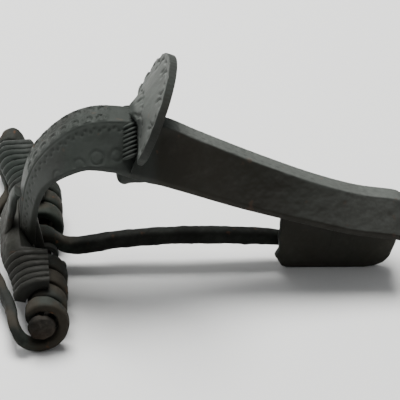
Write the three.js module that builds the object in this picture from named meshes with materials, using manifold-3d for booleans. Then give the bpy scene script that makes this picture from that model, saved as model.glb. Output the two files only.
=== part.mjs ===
// A crested bow brooch of cast bronze, with ribbed caps over a two-sided wire spring.
// Millimetres, +Z up, +X from the head to the foot. It stands on the spring's wide turns
// and on the catchplate's lower edge, and its origin is under the middle of its bounds.
import * as THREE from "three";
import { mergeVertices } from "three/addons/utils/BufferGeometryUtils.js";
import Module from "manifold-3d";

const wasm = await Module();
wasm.setup();

// Spring wire: hammered into a band where it is coiled, thicker and narrower in the pin
const axisHeight = 4.0;
const coilReach = 2.9;
const wireThickness = 1.5;
const bandWidth = 2.8;
const turnGap = 0.42;
const nearTurns = 4.4;
const farTurns = 6;
const farFirstTop = 2.4;
const nearLastRight = -4.0;
const nearRingReach = 3.85;
const nearRingShift = 1.2;
const ringBandWidth = 2.0;
const chordBandWidth = 2.0;
const chordBulge = 8.1;
const chordHeight = 3.3;
const lastTurnOpening = 2.3;
const nearTaper = 0.3;
const farRingBandWidth = 2.8;
const farPullOut = 1.1;
const farPullBack = 2.1;
const farPullUp = 1.7;
const farRingGrowth = -0.75;
const farFootGrowth = 0.55;

// Pin
const pinThickness = 2.45;
const pinWidth = 2.1;
const pinTipThickness = 1.1;
const pinCrown = 4.6;
const pinTipPlace = 0.95;

// Iron axle and the lug that holds it
const axleRadius = 0.8;
const axlePlugRadius = 1.9;
const axleClearance = 0.3;
const lugWall = 0.65;
const lugThickness = 1.0;
const lugMiddle = -1.95;

// Head: front block and the two caps, which roof the spring's upper front quarter
const capClearance = 0.45;
const capTopWall = 1.05;
const headReach = 6.7;
const capReach = 4.9;
const headHalfWidth = 5.9;
const nearCapEnd = 13.5;
const farCapEnd = 20.0;
const farCapSkew = 1.6;
const farCapPlain = 10.6;
const ribPitch = 1.18;
const ribHeight = 0.32;
const farBend = 1.7;
const hookThickness = 1.1;
const hookWidth = 2.6;

// Bow and foot: length from the spring's axis to the foot's end, and height of the arch
const bowLength = 51.2;
const bowHeight = 27.4;
const neckSetback = 3.8;
const ridgeHalf = 2.0;
const bowHalf = 6.0;
const facetDrop = 5.2;
const bowWall = 2.1;
const edgeThickness = 0.8;

// Crest, the beaded ring in front of it, and the lug under the bow
const crestPlace = 0.239;
const crestSink = 1.8;
const crestLean = 19.9;
const crestHalfWidth = 8.7;
const crestTwist = 4.5;
const crestHeight = 10.75;
const crestBand = 1.2;
const crestFrontDepth = 2.1;
const crestBackDepth = 2.0;
const crestFlank = 4.3;
const crestRootX = -0.25;
const crestFin = 2.2;
const chipDepth = 0.4;
const beadPitch = 0.62;
const beadLength = 2.2;
const beadThickness = 0.9;
const lugUnderWidth = 6.4;
const lugUnderDepth = 3.6;
const lugUnderLength = 2.2;
const lugFillet = 2.0;

// Catchplate with its gutter on the far side
const catchPlace = 0.66;
const catchOverhang = 0.4;
const catchThickness = 1.2;
const gutterWidth = 2.8;
const gutterWall = 0.85;
const gutterHeight = 3.7;

const crestBaseX = crestPlace * bowLength;
const crestBaseZ = bowHeight - crestSink;
const catchStart = catchPlace * bowLength;
const catchEnd = bowLength + catchOverhang;
const pinTipX = pinTipPlace * bowLength;
const pitch = bandWidth + turnGap;
const coilRadius = coilReach - wireThickness / 2;
const capInner = coilReach + capClearance;
const capTop = capInner + capTopWall;
const pinLine = catchThickness / 2 + gutterWidth / 2;
const turnSteps = 15;

const smooth = (value, low, high) => THREE.MathUtils.smoothstep(value, low, high);
const mix = THREE.MathUtils.lerp;
const degrees = THREE.MathUtils.degToRad;

// Closed solid through a row of rings that all have the same number of points.
// The flat outlines of the first and last ring say how its two ends are filled.
function loft(rings, outline) {
  const count = rings[0].length;
  const points = rings.flat();
  const faces = [];
  for (let row = 0; row < rings.length - 1; row += 1) {
    for (let i = 0; i < count; i += 1) {
      const next = (i + 1) % count;
      const a = row * count + i;
      const b = row * count + next;
      faces.push([a, b, b + count], [a, b + count, a + count]);
    }
  }
  const last = (rings.length - 1) * count;
  for (const [i, j, k] of filling(outline(0))) {
    faces.push([k, j, i]);
  }
  for (const [i, j, k] of filling(outline(rings.length - 1))) {
    faces.push([last + i, last + j, last + k]);
  }
  const geometry = new THREE.BufferGeometry().setFromPoints(points);
  geometry.setIndex(faces.flat());
  return outward(geometry);
}

// Triangles that fill an outline, turned the way the outline runs
function filling(outline) {
  const triangles = THREE.ShapeUtils.triangulateShape([...outline], []);
  const backwards = THREE.ShapeUtils.isClockWise(outline);
  return triangles.map(([i, j, k]) => (backwards ? [k, j, i] : [i, j, k]));
}

// The same solid with its faces turned to point out
function outward(geometry) {
  const place = geometry.attributes.position;
  const index = geometry.index;
  const [a, b, c] = [new THREE.Vector3(), new THREE.Vector3(), new THREE.Vector3()];
  let volume = 0;
  for (let i = 0; i < index.count; i += 3) {
    a.fromBufferAttribute(place, index.getX(i));
    b.fromBufferAttribute(place, index.getX(i + 1));
    c.fromBufferAttribute(place, index.getX(i + 2));
    volume += a.dot(b.cross(c)) / 6;
  }
  if (volume < 0) {
    for (let i = 0; i < index.count; i += 3) {
      const first = index.getX(i);
      index.setX(i, index.getX(i + 1));
      index.setX(i + 1, first);
    }
  }
  return geometry;
}

function toSolid(geometry) {
  const plain = geometry.clone();
  plain.deleteAttribute("normal");
  plain.deleteAttribute("uv");
  const merged = mergeVertices(plain, 1e-5);
  return new wasm.Manifold(new wasm.Mesh({
    numProp: 3,
    vertProperties: Float32Array.from(merged.attributes.position.array),
    triVerts: Uint32Array.from(merged.index.array),
  }));
}

// The solid with the small air pockets filled that beads can trap against the bow
function withoutPockets(solid) {
  return solid.decompose().reduce((best, part) => (part.volume() > best.volume() ? part : best));
}

function toGeometry(solid) {
  const mesh = solid.getMesh();
  const geometry = new THREE.BufferGeometry();
  geometry.setAttribute("position", new THREE.BufferAttribute(mesh.vertProperties, 3));
  geometry.setIndex(new THREE.BufferAttribute(mesh.triVerts, 1));
  return geometry;
}

// Solid swept along stations, each with a place, the direction of its thickness, and its size.
// A station's section is a rectangle with cut corners.
function sweep(stations) {
  const rings = [];
  const flats = [];
  stations.forEach((station, i) => {
    const before = stations[Math.max(i - 1, 0)].place;
    const after = stations[Math.min(i + 1, stations.length - 1)].place;
    const along = after.clone().sub(before).normalize();
    const across = station.normal.clone().addScaledVector(along, -station.normal.dot(along)).normalize();
    const side = new THREE.Vector3().crossVectors(along, across);
    const flat = cutCorners(station.width / 2, station.thickness / 2);
    flats.push(flat);
    rings.push(flat.map((p) => station.place.clone().addScaledVector(side, p.x).addScaledVector(across, p.y)));
  });
  return loft(rings, (row) => flats[row]);
}

function cutCorners(halfWidth, halfThickness) {
  const cut = 0.55 * Math.min(halfWidth, halfThickness);
  const [w, t] = [halfWidth, halfThickness];
  const corners = [[w, t - cut], [w - cut, t], [cut - w, t], [-w, t - cut], [-w, cut - t], [cut - w, -t],
    [w - cut, -t], [w, cut - t]];
  return corners.map(([x, y]) => new THREE.Vector2(x, y));
}

// Sideways place of the spring's axis: straight, but bent towards the head at the far end
function bendAt(y) {
  return -farBend * smooth(y, farCapPlain, farCapEnd);
}

// One point of a turn: angle 0 is the side towards the foot and 90 degrees is the top
function turnStation(y, angle, radius, middleX, middleZ, width) {
  const out = new THREE.Vector3(Math.cos(angle), 0, Math.sin(angle));
  const place = out.clone().multiplyScalar(radius).add(new THREE.Vector3(middleX, y, middleZ));
  return { place, normal: out, width, thickness: wireThickness };
}

// Near half, from its cut end beside the lug out to the wide end ring
function nearSpring() {
  const stations = [];
  const ringStart = degrees(-150);
  const lastAngle = ringStart + 2 * Math.PI * nearTurns;
  const steps = Math.round(nearTurns * turnSteps);
  const ringRadius = nearRingReach - wireThickness / 2;
  const ringRightY = nearLastRight - pitch * 4;
  for (let i = 0; i <= steps; i += 1) {
    const angle = mix(lastAngle, ringStart, i / steps);
    const y = ringRightY + (pitch * angle) / (2 * Math.PI);
    const ring = 1 - smooth(angle, 0, 1.3 * Math.PI);
    const taper = nearTaper * (1 - smooth(y, ringRightY, ringRightY + pitch * 3)) * (1 - ring);
    const radius = mix(coilRadius, ringRadius, ring) - taper / 2;
    const middleX = -nearRingShift * ring - taper;
    const middleZ = mix(axisHeight, nearRingReach, ring);
    stations.push(turnStation(y, angle, radius, middleX, middleZ, mix(bandWidth, ringBandWidth, ring)));
  }
  return stations;
}

// Far half, from the turn pulled up beyond the cap's end in to the top of the turn that holds the pin
function farSpring() {
  const stations = [];
  const startAngle = degrees(150) + 2 * Math.PI * farTurns;
  const endAngle = degrees(90);
  const steps = Math.round(((startAngle - endAngle) / (2 * Math.PI)) * turnSteps);
  for (let i = 0; i <= steps; i += 1) {
    const angle = mix(startAngle, endAngle, i / steps);
    const pull = smooth(angle, startAngle - 1.75 * Math.PI, startAngle - Math.PI);
    const opening = lastTurnOpening * (1 - smooth(angle, endAngle, 2 * Math.PI));
    const coiledY = farFirstTop + (pitch * (angle - endAngle)) / (2 * Math.PI);
    const y = coiledY - opening + farPullOut * pull;
    const lift = smooth(angle, startAngle - 0.8 * Math.PI, startAngle - 0.2 * Math.PI);
    const footTurn = Math.exp(-(((angle - startAngle) / (2 * Math.PI) + 1.67) ** 2) / 0.14);
    const radius = coilRadius + farRingGrowth * pull + farFootGrowth * footTurn;
    const middleX = bendAt(coiledY) - farPullBack * pull;
    const middleZ = axisHeight + farPullUp * lift - farFootGrowth * footTurn;
    stations.push(turnStation(y, angle, radius, middleX, middleZ, mix(bandWidth, farRingBandWidth, pull)));
  }
  return stations;
}

// Chord: one loop from the near ring round the front of the head to the far ring
function chordStations(from, to) {
  const z = chordHeight;
  const route = [
    [-4.5, -17.75, z - 0.3], [-4.95, -16.5, z + 0.2], [-5.15, -14.5, z + 0.2], [-5.5, -12.2, z], [-6.6, -8.2, z],
    [-7.7, -4, z], [-chordBulge, 0.5, z], [-7.8, 5, z], [-7.1, 8.2, z], [-5.9, 11, z - 0.2], [-4.95, 13.3, z - 0.4],
    [-4.8, 15.2, z - 0.4], [-5.1, 17.5, z - 0.3], [-5.5, 19.5, z - 0.3], [-6.0, 21.6, z - 0.1],
    [-6.0, 23, z + 1.3],
  ].map((p) => new THREE.Vector3(...p));
  const curve = new THREE.CatmullRomCurve3([from.place, ...route, to.place], false, "centripetal");
  const steps = 36;
  const stations = [];
  for (let i = 1; i < steps; i += 1) {
    const share = i / steps;
    const normal = new THREE.Vector3(-1, 0, 0);
    normal.lerp(from.normal, 1 - smooth(share, 0, 0.1)).lerp(to.normal, smooth(share, 0.88, 1)).normalize();
    stations.push({ place: curve.getPointAt(share), normal, width: chordBandWidth, thickness: wireThickness });
  }
  return stations;
}

// Pin: steps down from the top of its turn, rises in a flat arc and ends in the gutter
function pinStations(from) {
  const rootY = from.place.y + 0.6;
  const floor = gutterWall + pinTipThickness / 2 + 0.35;
  const route = [
    [0.9, mix(from.place.y, rootY, 0.2), axisHeight + coilRadius - 0.55],
    [1.9, mix(from.place.y, rootY, 0.6), axisHeight + 0.5], [3.2, rootY, 3.55], [6, rootY, pinCrown - 0.95],
    [11, mix(rootY, pinLine, 0.4), pinCrown - 0.4],
    [21, mix(rootY, pinLine, 0.7), pinCrown], [catchStart, pinLine, pinCrown - 0.75],
    [42, pinLine, 2.6], [pinTipX, pinLine, floor],
  ].map((p) => new THREE.Vector3(...p));
  const curve = new THREE.CatmullRomCurve3([from.place, ...route], false, "centripetal");
  const steps = 34;
  const stations = [];
  for (let i = 1; i <= steps; i += 1) {
    const place = curve.getPointAt(i / steps);
    const root = smooth(place.x, 0.5, 4.5);
    const tip = smooth(place.x, catchStart - 6, pinTipX);
    const width = mix(mix(bandWidth, pinWidth, root), pinTipThickness, tip);
    const thickness = mix(mix(wireThickness, pinThickness, root), pinTipThickness, tip);
    stations.push({ place, normal: new THREE.Vector3(0, 0, 1), width, thickness });
  }
  return stations;
}

function springGeometry() {
  const near = nearSpring();
  const far = farSpring();
  const chord = chordStations(near[near.length - 1], far[0]);
  const pin = pinStations(far[far.length - 1]);
  return sweep([...near, ...chord, ...far, ...pin]);
}

// Iron axle: a rod through the bore, with a plug of corrosion that fills the near ring
function axleGeometry() {
  const nearEnd = -18.5;
  const plugEnd = -17.4;
  const farEnd = farCapEnd - 3;
  const profile = [[0, nearEnd], [axlePlugRadius * 0.7, nearEnd], [axlePlugRadius, nearEnd + 0.4],
    [axlePlugRadius, plugEnd], [axleRadius, plugEnd + 0.25], [axleRadius, farCapPlain]];
  const bendRows = 4;
  for (let i = 1; i <= bendRows; i += 1) {
    profile.push([axleRadius, mix(farCapPlain, farEnd, i / bendRows)]);
  }
  profile.push([0, farEnd]);
  const steps = 12;
  const lathe = new THREE.LatheGeometry(profile.map(([r, y]) => new THREE.Vector2(r, y)), steps);
  const place = lathe.attributes.position;
  for (let i = 0; i < place.count; i += 1) {
    const y = place.getY(i);
    const plugShift = y < plugEnd + 0.1 ? -nearRingShift : 0;
    place.setX(i, place.getX(i) + bendAt(y) + plugShift);
    place.setZ(i, place.getZ(i) + axisHeight);
  }
  lathe.deleteAttribute("normal");
  lathe.deleteAttribute("uv");
  return outward(mergeVertices(lathe, 1e-5));
}

// Front block and caps in one loft along the spring, with ribs on the two caps
function capsSolid() {
  const spans = [];
  const ribSteps = 3;
  const nearRibs = Math.round((nearCapEnd - headHalfWidth - 0.5) / ribPitch);
  const farRibs = Math.round((farCapEnd - farCapPlain) / ribPitch);
  for (let i = nearRibs * ribSteps; i >= 0; i -= 1) {
    spans.push({ y: -headHalfWidth - 0.5 - ((nearCapEnd - headHalfWidth - 0.5) * i) / (nearRibs * ribSteps),
      rib: Math.abs(Math.sin((Math.PI * i) / ribSteps)) });
  }
  for (const y of [-headHalfWidth, -3, 0, 3, headHalfWidth, headHalfWidth + 0.5, 8.5]) {
    spans.push({ y, rib: 0 });
  }
  for (let i = 0; i <= farRibs * ribSteps; i += 1) {
    spans.push({ y: farCapPlain + ((farCapEnd - farCapPlain) * i) / (farRibs * ribSteps),
      rib: Math.abs(Math.sin((Math.PI * i) / ribSteps)) });
  }
  const arcSteps = 6;
  const frontEdge = degrees(168);
  const flats = spans.map(({ y, rib }) => {
    const open = smooth(Math.abs(y), headHalfWidth, headHalfWidth + 0.5);
    const overlap = 8 * smooth(y, headHalfWidth, farCapPlain) * (1 - smooth(y, farCapEnd - 1.3, farCapEnd));
    const backEdge = mix(degrees(130), degrees(91 - overlap), open);
    const reach = mix(headReach, capReach, smooth(Math.abs(y), 3, 12.5));
    const outer = [];
    const inner = [];
    for (let i = 0; i <= arcSteps; i += 1) {
      const angle = mix(backEdge, frontEdge, i / arcSteps);
      const share = smooth(angle, degrees(91), degrees(150));
      const out = mix(capTop, reach, share) + ribHeight * rib;
      outer.push(new THREE.Vector2(out * Math.cos(angle), out * Math.sin(angle)));
      inner.unshift(new THREE.Vector2(capInner * Math.cos(angle), capInner * Math.sin(angle)));
    }
    return [...outer, ...inner];
  });
  const rings = flats.map((flat, row) => flat.map((p) => {
    const { y } = spans[row];
    const front = smooth(Math.atan2(p.y, p.x), degrees(91), degrees(150)) ** 2;
    const skew = farCapSkew * front * smooth(y, farCapPlain, farCapEnd);
    return new THREE.Vector3(p.x + bendAt(y + skew), y + skew, p.y + axisHeight);
  }));
  return toSolid(loft(rings, (row) => flats[row]));
}

// Top line of the neck, bow and foot, in shares of the main sizes, with the section at each place:
// half width of the top facet, half width at the lower edges, and drop of the side facets
const bowRows = [
  [-0.067, 0.212, 0.85, 0.52, 0.27], [-0.068, 0.33, 0.85, 0.53, 0.27], [-0.066, 0.474, 0.9, 0.58, 0.29],
  [-0.057, 0.62, 0.95, 0.68, 0.35], [-0.035, 0.752, 1, 0.82, 0.48], [0.006, 0.865, 1, 0.92, 0.64],
  [0.059, 0.949, 1, 0.98, 0.81], [0.117, 0.99, 1, 1, 0.92], [0.176, 0.995, 0.95, 1, 0.98],
  [0.238, 0.98, 0.85, 0.93, 1.13], [0.324, 0.935, 0.65, 0.82, 1.26], [0.406, 0.862, 0.62, 0.78, 1.17],
  [0.578, 0.716, 0.62, 0.78, 1.0], [0.754, 0.583, 0.6, 0.8, 0.79], [0.875, 0.515, 0.6, 0.82, 0.73],
  [0.984, 0.482, 0.6, 0.83, 0.72], [1, 0.467, 0.55, 0.82, 0.68],
];
const bowLine = bowRows.map(([along, high, top, base, depth]) => ({
  x: along < 0 ? (along / 0.068) * neckSetback : along * bowLength,
  z: high * bowHeight,
  top: top * ridgeHalf,
  base: base * bowHalf,
  depth: depth * facetDrop,
}));

function bowSection(top, base, depth) {
  const low = -depth - edgeThickness;
  const inset = Math.min(0.5, base - top);
  const roof = Math.max(-bowWall, low + 0.01);
  const half = [[top, 0], [base, -depth], [base, low], [base - inset, low], [top * 0.9, roof]];
  const mirror = half.map(([y, n]) => [-y, n]).reverse();
  return [...half, ...mirror].map(([y, n]) => new THREE.Vector2(y, n));
}

function bowSolid() {
  const line = new THREE.CatmullRomCurve3(bowLine.map((p) => new THREE.Vector3(p.x, 0, p.z)), false, "centripetal");
  const sizes = new THREE.CatmullRomCurve3(
    bowLine.map((p) => new THREE.Vector3(p.top, p.base, p.depth)), false, "centripetal");
  const perSpan = 2;
  const steps = (bowLine.length - 1) * perSpan;
  const flats = [];
  const rings = [];
  for (let i = 0; i <= steps; i += 1) {
    const share = i / steps;
    const place = line.getPoint(share);
    const along = line.getTangent(share);
    const normal = new THREE.Vector3(-along.z, 0, along.x);
    normal.lerp(new THREE.Vector3(0, 0, 1), smooth(place.x, bowLength - 6, bowLength)).normalize();
    const size = sizes.getPoint(share);
    const flat = bowSection(size.x, size.y, size.z);
    flats.push(flat);
    rings.push(flat.map((p) => place.clone().addScaledVector(normal, p.y).add(new THREE.Vector3(0, p.x, 0))));
  }
  return toSolid(loft(rings, (row) => flats[row]));
}

// Room for the spring behind the neck
function springRoom() {
  const length = 2 * headHalfWidth + 6;
  const cylinder = new THREE.CylinderGeometry(capInner, capInner, length, 32);
  cylinder.translate(0, 0, axisHeight);
  return toSolid(cylinder);
}

// Hook for the chord, a strip that rises from the front block and closes on the neck
function hookSolid() {
  const route = [[-5.5, 7.2], [-5.2, 9.2], [-4.85, 11], [-4.75, 12.2], [-4.6, 13.1], [-4.15, 13.9]];
  const curve = new THREE.CatmullRomCurve3(route.map(([x, z]) => new THREE.Vector3(x, 0, z)), false, "centripetal");
  const steps = 12;
  const stations = [];
  for (let i = 0; i <= steps; i += 1) {
    const along = curve.getTangentAt(i / steps);
    stations.push({ place: curve.getPointAt(i / steps), normal: new THREE.Vector3(-along.z, 0, along.x),
      width: hookWidth, thickness: hookThickness });
  }
  return toSolid(sweep(stations));
}

// Lug behind the neck, pierced for the axle
function lugSolid() {
  const hole = axleRadius + axleClearance;
  const rim = hole + lugWall;
  const disc = new THREE.CylinderGeometry(rim, rim, lugThickness, 24);
  disc.translate(0, lugMiddle, axisHeight);
  const [topX, topZ] = [-2.5, 12];
  const reach = Math.hypot(topX, topZ - axisHeight);
  const bar = new THREE.BoxGeometry(1.7, lugThickness, reach);
  bar.translate(0, lugMiddle, reach / 2);
  bar.rotateY(Math.atan2(topX, topZ - axisHeight));
  bar.translate(0, 0, axisHeight);
  const bore = new THREE.CylinderGeometry(hole, hole, lugThickness * 3, 24);
  bore.translate(0, lugMiddle, axisHeight);
  return toSolid(disc).add(toSolid(bar)).subtract(toSolid(bore));
}

// Outline of the roof that the collar and the crest grow from, seen along the bow
function roofOutline() {
  const half = [[2.0, 1.75], [5.9, -crestFlank + 0.4], [5.9, -crestFlank - 0.3]];
  const mirror = half.map(([y, n]) => [-y, n]).reverse();
  return [...half, ...mirror].map(([y, n]) => new THREE.Vector2(y, n));
}

// Outline that the crest's back falls to, inside the foot's section
function saddleOutline() {
  const half = [[1.2, 0.4], [4.6, -crestFlank - 0.6], [4.2, -crestFlank - 1.4]];
  const mirror = half.map(([y, n]) => [-y, n]).reverse();
  return [...half, ...mirror].map(([y, n]) => new THREE.Vector2(y, n));
}

// How far the rim is chipped away: the far side has small breaks, with teeth left standing between them
function chipAt(angle) {
  const breaks = [[24, 5.5, 1], [9, 4, 0.8], [-4, 2.5, 1.5]];
  return breaks.reduce((sum, [middle, spread, deep]) => (
    sum + chipDepth * deep * Math.exp(-(((angle - degrees(middle)) / degrees(spread)) ** 2))), 0);
}

// Outline of the crest's rim: a tall half round whose flanks run in to the bow's sides
function rimOutline() {
  const points = [];
  const steps = 30;
  for (let i = 0; i <= steps; i += 1) {
    const angle = mix(0.02, Math.PI - 0.02, i / steps);
    const share = 1 - chipAt(angle) / crestHalfWidth;
    points.push(new THREE.Vector2(crestHalfWidth * share * Math.cos(angle), crestHeight * share * Math.sin(angle)));
  }
  points.push(new THREE.Vector2(-crestHalfWidth + 0.9, -crestFin * 0.6), new THREE.Vector2(-6.3, -crestFin));
  points.push(new THREE.Vector2(6.3, -crestFin), new THREE.Vector2(crestHalfWidth - 0.9, -crestFin * 0.6));
  return points;
}

// Distance from the crest's middle to an outline, in one direction
function reachOf(outline, angle) {
  const [dx, dy] = [Math.cos(angle), Math.sin(angle)];
  let best = 0;
  outline.forEach((a, i) => {
    const b = outline[(i + 1) % outline.length];
    const [ex, ey] = [b.x - a.x, b.y - a.y];
    const cross = dx * ey - dy * ex;
    const t = (a.x * ey - a.y * ex) / cross;
    const s = (a.x * dy - a.y * dx) / cross;
    if (t > 0 && s >= -1e-9 && s <= 1 + 1e-9) {
      best = Math.max(best, t);
    }
  });
  return best;
}

// Crest: flares like a trumpet from the collar to its rim, and falls back to the foot behind
function crestSolid() {
  const roof = roofOutline();
  const saddle = saddleOutline();
  const rim = rimOutline();
  const lean = degrees(crestLean);
  const up = new THREE.Vector3(Math.sin(lean), 0, Math.cos(lean));
  const back = new THREE.Vector3(Math.cos(lean), 0, -Math.sin(lean));
  const side = new THREE.Vector3(Math.tan(degrees(crestTwist)), 1, 0);
  const middle = new THREE.Vector3(crestBaseX, 0, crestBaseZ);
  const rootOffset = (p) => (crestRootX - p.y * Math.sin(lean) - p.x * side.x) / Math.cos(lean);
  const layers = [];
  for (const grown of [0, 0.12, 0.28, 0.48, 0.7, 0.88, 1]) {
    layers.push({ grown, behind: false });
  }
  for (const grown of [1, 0.88, 0.66, 0.4, 0.18, 0]) {
    layers.push({ grown, behind: true });
  }
  const sides = 44;
  const flats = layers.map(({ grown, behind }) => {
    const flat = [];
    for (let i = 0; i < sides; i += 1) {
      const angle = (2 * Math.PI * i) / sides;
      const root = reachOf(behind ? saddle : roof, angle);
      const reach = mix(root, reachOf(rim, angle), grown);
      flat.push(new THREE.Vector2(reach * Math.cos(angle), reach * Math.sin(angle)));
    }
    return flat;
  });
  const rings = flats.map((flat, row) => flat.map((p, i) => {
    const { grown, behind } = layers[row];
    const overTop = smooth(Math.sin((2 * Math.PI * i) / sides), 0.4, 0.9);
    const rootPlace = mix(Math.min(rootOffset(p), 0.7), -crestFrontDepth, overTop);
    const fin = 1 - smooth(Math.sin((2 * Math.PI * i) / sides), -0.32, 0);
    const front = 0.75 * fin;
    const rear = mix(crestBand, 1.1, fin);
    const flare = (1 - grown) ** (behind ? 1.6 : 1.8);
    const offset = behind ? rear + crestBackDepth * flare : mix(front, rootPlace, flare);
    return middle.clone().addScaledVector(back, offset).addScaledVector(up, p.y).addScaledVector(side, p.x);
  }));
  return toSolid(loft(rings, (row) => flats[row]));
}

// Beaded ring over the collar in front of the crest, one swelling for each bead
function beadedRing() {
  const x = crestBaseX - 1.4;
  const outline = [[4.7, -crestFlank + 2.1], [2.0, 1.25], [-2.0, 1.25], [-4.7, -crestFlank + 2.1]];
  const corners = outline.map(([y, rise]) => new THREE.Vector3(x, y, crestBaseZ + rise));
  const path = new THREE.CurvePath();
  for (let i = 0; i < corners.length - 1; i += 1) {
    path.add(new THREE.LineCurve3(corners[i], corners[i + 1]));
  }
  const beads = Math.round(path.getLength() / beadPitch);
  const perBead = 2;
  const stations = [];
  for (let i = 0; i <= beads * perBead; i += 1) {
    const place = path.getPointAt(i / (beads * perBead));
    const swell = Math.abs(Math.sin((Math.PI * i) / perBead));
    const size = mix(0.75, 1, swell);
    stations.push({ place, normal: new THREE.Vector3(1, 0, 0), width: size * beadThickness,
      thickness: size * beadLength });
  }
  return toSolid(sweep(stations));
}

// Knob of the collar under the bow, rounded below
function underLug() {
  const shape = new THREE.Shape();
  const [half, low] = [lugUnderLength / 2, -lugUnderDepth];
  shape.moveTo(-half, 1.6);
  shape.lineTo(-half, low + half);
  shape.absarc(0, low + half, half, Math.PI, 1.65 * Math.PI, false);
  shape.quadraticCurveTo(half, low + 0.8, half + lugFillet, low + 1.15);
  shape.lineTo(half + lugFillet, 1.6);
  shape.closePath();
  const steps = 8;
  const round = new THREE.ExtrudeGeometry(shape, { depth: lugUnderWidth, bevelEnabled: true, bevelThickness: 0.6,
    bevelSize: 0.5, bevelOffset: -0.5, bevelSegments: 2, curveSegments: steps });
  round.applyMatrix4(new THREE.Matrix4().makeBasis(
    new THREE.Vector3(1, 0, 0), new THREE.Vector3(0, 0, 1), new THREE.Vector3(0, -1, 0)));
  round.translate(crestBaseX - 1.75, lugUnderWidth / 2, crestBaseZ - crestFlank - 0.6);
  return toSolid(round);
}

// Height in the middle of the foot's top wall
function wallHeight(x) {
  const next = Math.max(bowLine.findLastIndex((p) => p.x <= x), 0);
  const [a, b] = [bowLine[next], bowLine[Math.min(next + 1, bowLine.length - 1)]];
  const share = b.x > a.x ? (x - a.x) / (b.x - a.x) : 0;
  return mix(a.z, b.z, share) - bowWall / 2;
}

// Catchplate: a thin plate under the foot, its front edge nicked, its lower edge turned into a gutter
function catchSolid() {
  const plate = new THREE.Shape();
  plate.moveTo(catchStart, wallHeight(catchStart));
  plate.lineTo(catchStart, 5.6);
  plate.lineTo(catchStart + 0.25, 3.3);
  plate.lineTo(catchStart - 0.2, 2.2);
  plate.lineTo(catchStart + 0.5, 0.9);
  plate.quadraticCurveTo(catchStart + 0.9, 0, catchStart + 1.7, 0);
  plate.lineTo(catchEnd - 4.6, 0);
  plate.quadraticCurveTo(catchEnd - 1.4, 0.35, catchEnd - 0.8, 2.0);
  plate.lineTo(catchEnd - 0.1, 5.2);
  plate.lineTo(catchEnd - 1.2, wallHeight(catchEnd - 1.2));
  plate.lineTo(catchEnd - 7, wallHeight(catchEnd - 7));
  plate.closePath();
  const stand = new THREE.Matrix4().makeBasis(
    new THREE.Vector3(1, 0, 0), new THREE.Vector3(0, 0, 1), new THREE.Vector3(0, -1, 0));
  const round = 0.4;
  const sheet = new THREE.ExtrudeGeometry(plate, { depth: catchThickness - 2 * round, bevelEnabled: true,
    bevelThickness: round, bevelSize: round, bevelOffset: -round, bevelSegments: 1, curveSegments: 4 });
  sheet.applyMatrix4(stand);
  sheet.translate(0, catchThickness / 2 - round, 0);
  const half = catchThickness / 2;
  const outer = half + gutterWidth + gutterWall;
  const gutter = new THREE.Shape();
  gutter.moveTo(half - 0.3, 0);
  gutter.lineTo(outer - 0.9, 0);
  gutter.quadraticCurveTo(outer, 0, outer, 0.9);
  gutter.lineTo(outer, gutterHeight);
  gutter.lineTo(outer - gutterWall, gutterHeight);
  gutter.lineTo(outer - gutterWall, gutterWall + 0.3);
  gutter.quadraticCurveTo(outer - gutterWall, gutterWall, outer - gutterWall - 0.3, gutterWall);
  gutter.lineTo(half - 0.3, gutterWall);
  gutter.closePath();
  const start = catchStart + 1.7;
  const end = catchEnd - 3.2;
  const channel = new THREE.ExtrudeGeometry(gutter, { depth: end - start, bevelEnabled: false, curveSegments: 3 });
  channel.applyMatrix4(new THREE.Matrix4().makeBasis(
    new THREE.Vector3(0, 1, 0), new THREE.Vector3(0, 0, 1), new THREE.Vector3(1, 0, 0)));
  channel.translate(start, 0, 0);
  return toSolid(sheet).add(toSolid(channel));
}

function bodyGeometry() {
  const neckAndBow = bowSolid().subtract(springRoom());
  let body = neckAndBow;
  for (const piece of [capsSolid(), hookSolid(), lugSolid(), crestSolid(), beadedRing(), underLug(), catchSolid()]) {
    body = body.add(piece);
  }
  return toGeometry(withoutPockets(body));
}

const bronze = new THREE.MeshStandardMaterial({ color: 0x3a4038, roughness: 0.5, metalness: 0.55 });
const springBronze = new THREE.MeshStandardMaterial({ color: 0x33352e, roughness: 0.6, metalness: 0.45 });
const rustedIron = new THREE.MeshStandardMaterial({ color: 0x3b2d24, roughness: 0.9, metalness: 0.1 });

function named(name, geometry, material) {
  const mesh = new THREE.Mesh(geometry, material);
  mesh.name = name;
  return mesh;
}

const brooch = new THREE.Group();
brooch.add(named("brooch_body", bodyGeometry(), bronze));
brooch.add(named("spring_and_pin", springGeometry(), springBronze));
brooch.add(named("spring_axle", axleGeometry(), rustedIron));

const bounds = new THREE.Box3().setFromObject(brooch);
const centre = bounds.getCenter(new THREE.Vector3());
brooch.position.set(-centre.x, -centre.y, -bounds.min.z);
brooch.updateMatrixWorld(true);

export default brooch;
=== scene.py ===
"""A bronze bow brooch with a crest, ribbed caps over a wire spring, a pin and a catchplate."""

import math

import bmesh
import bpy
import numpy as np
from mathutils import Matrix, Vector, noise


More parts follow.
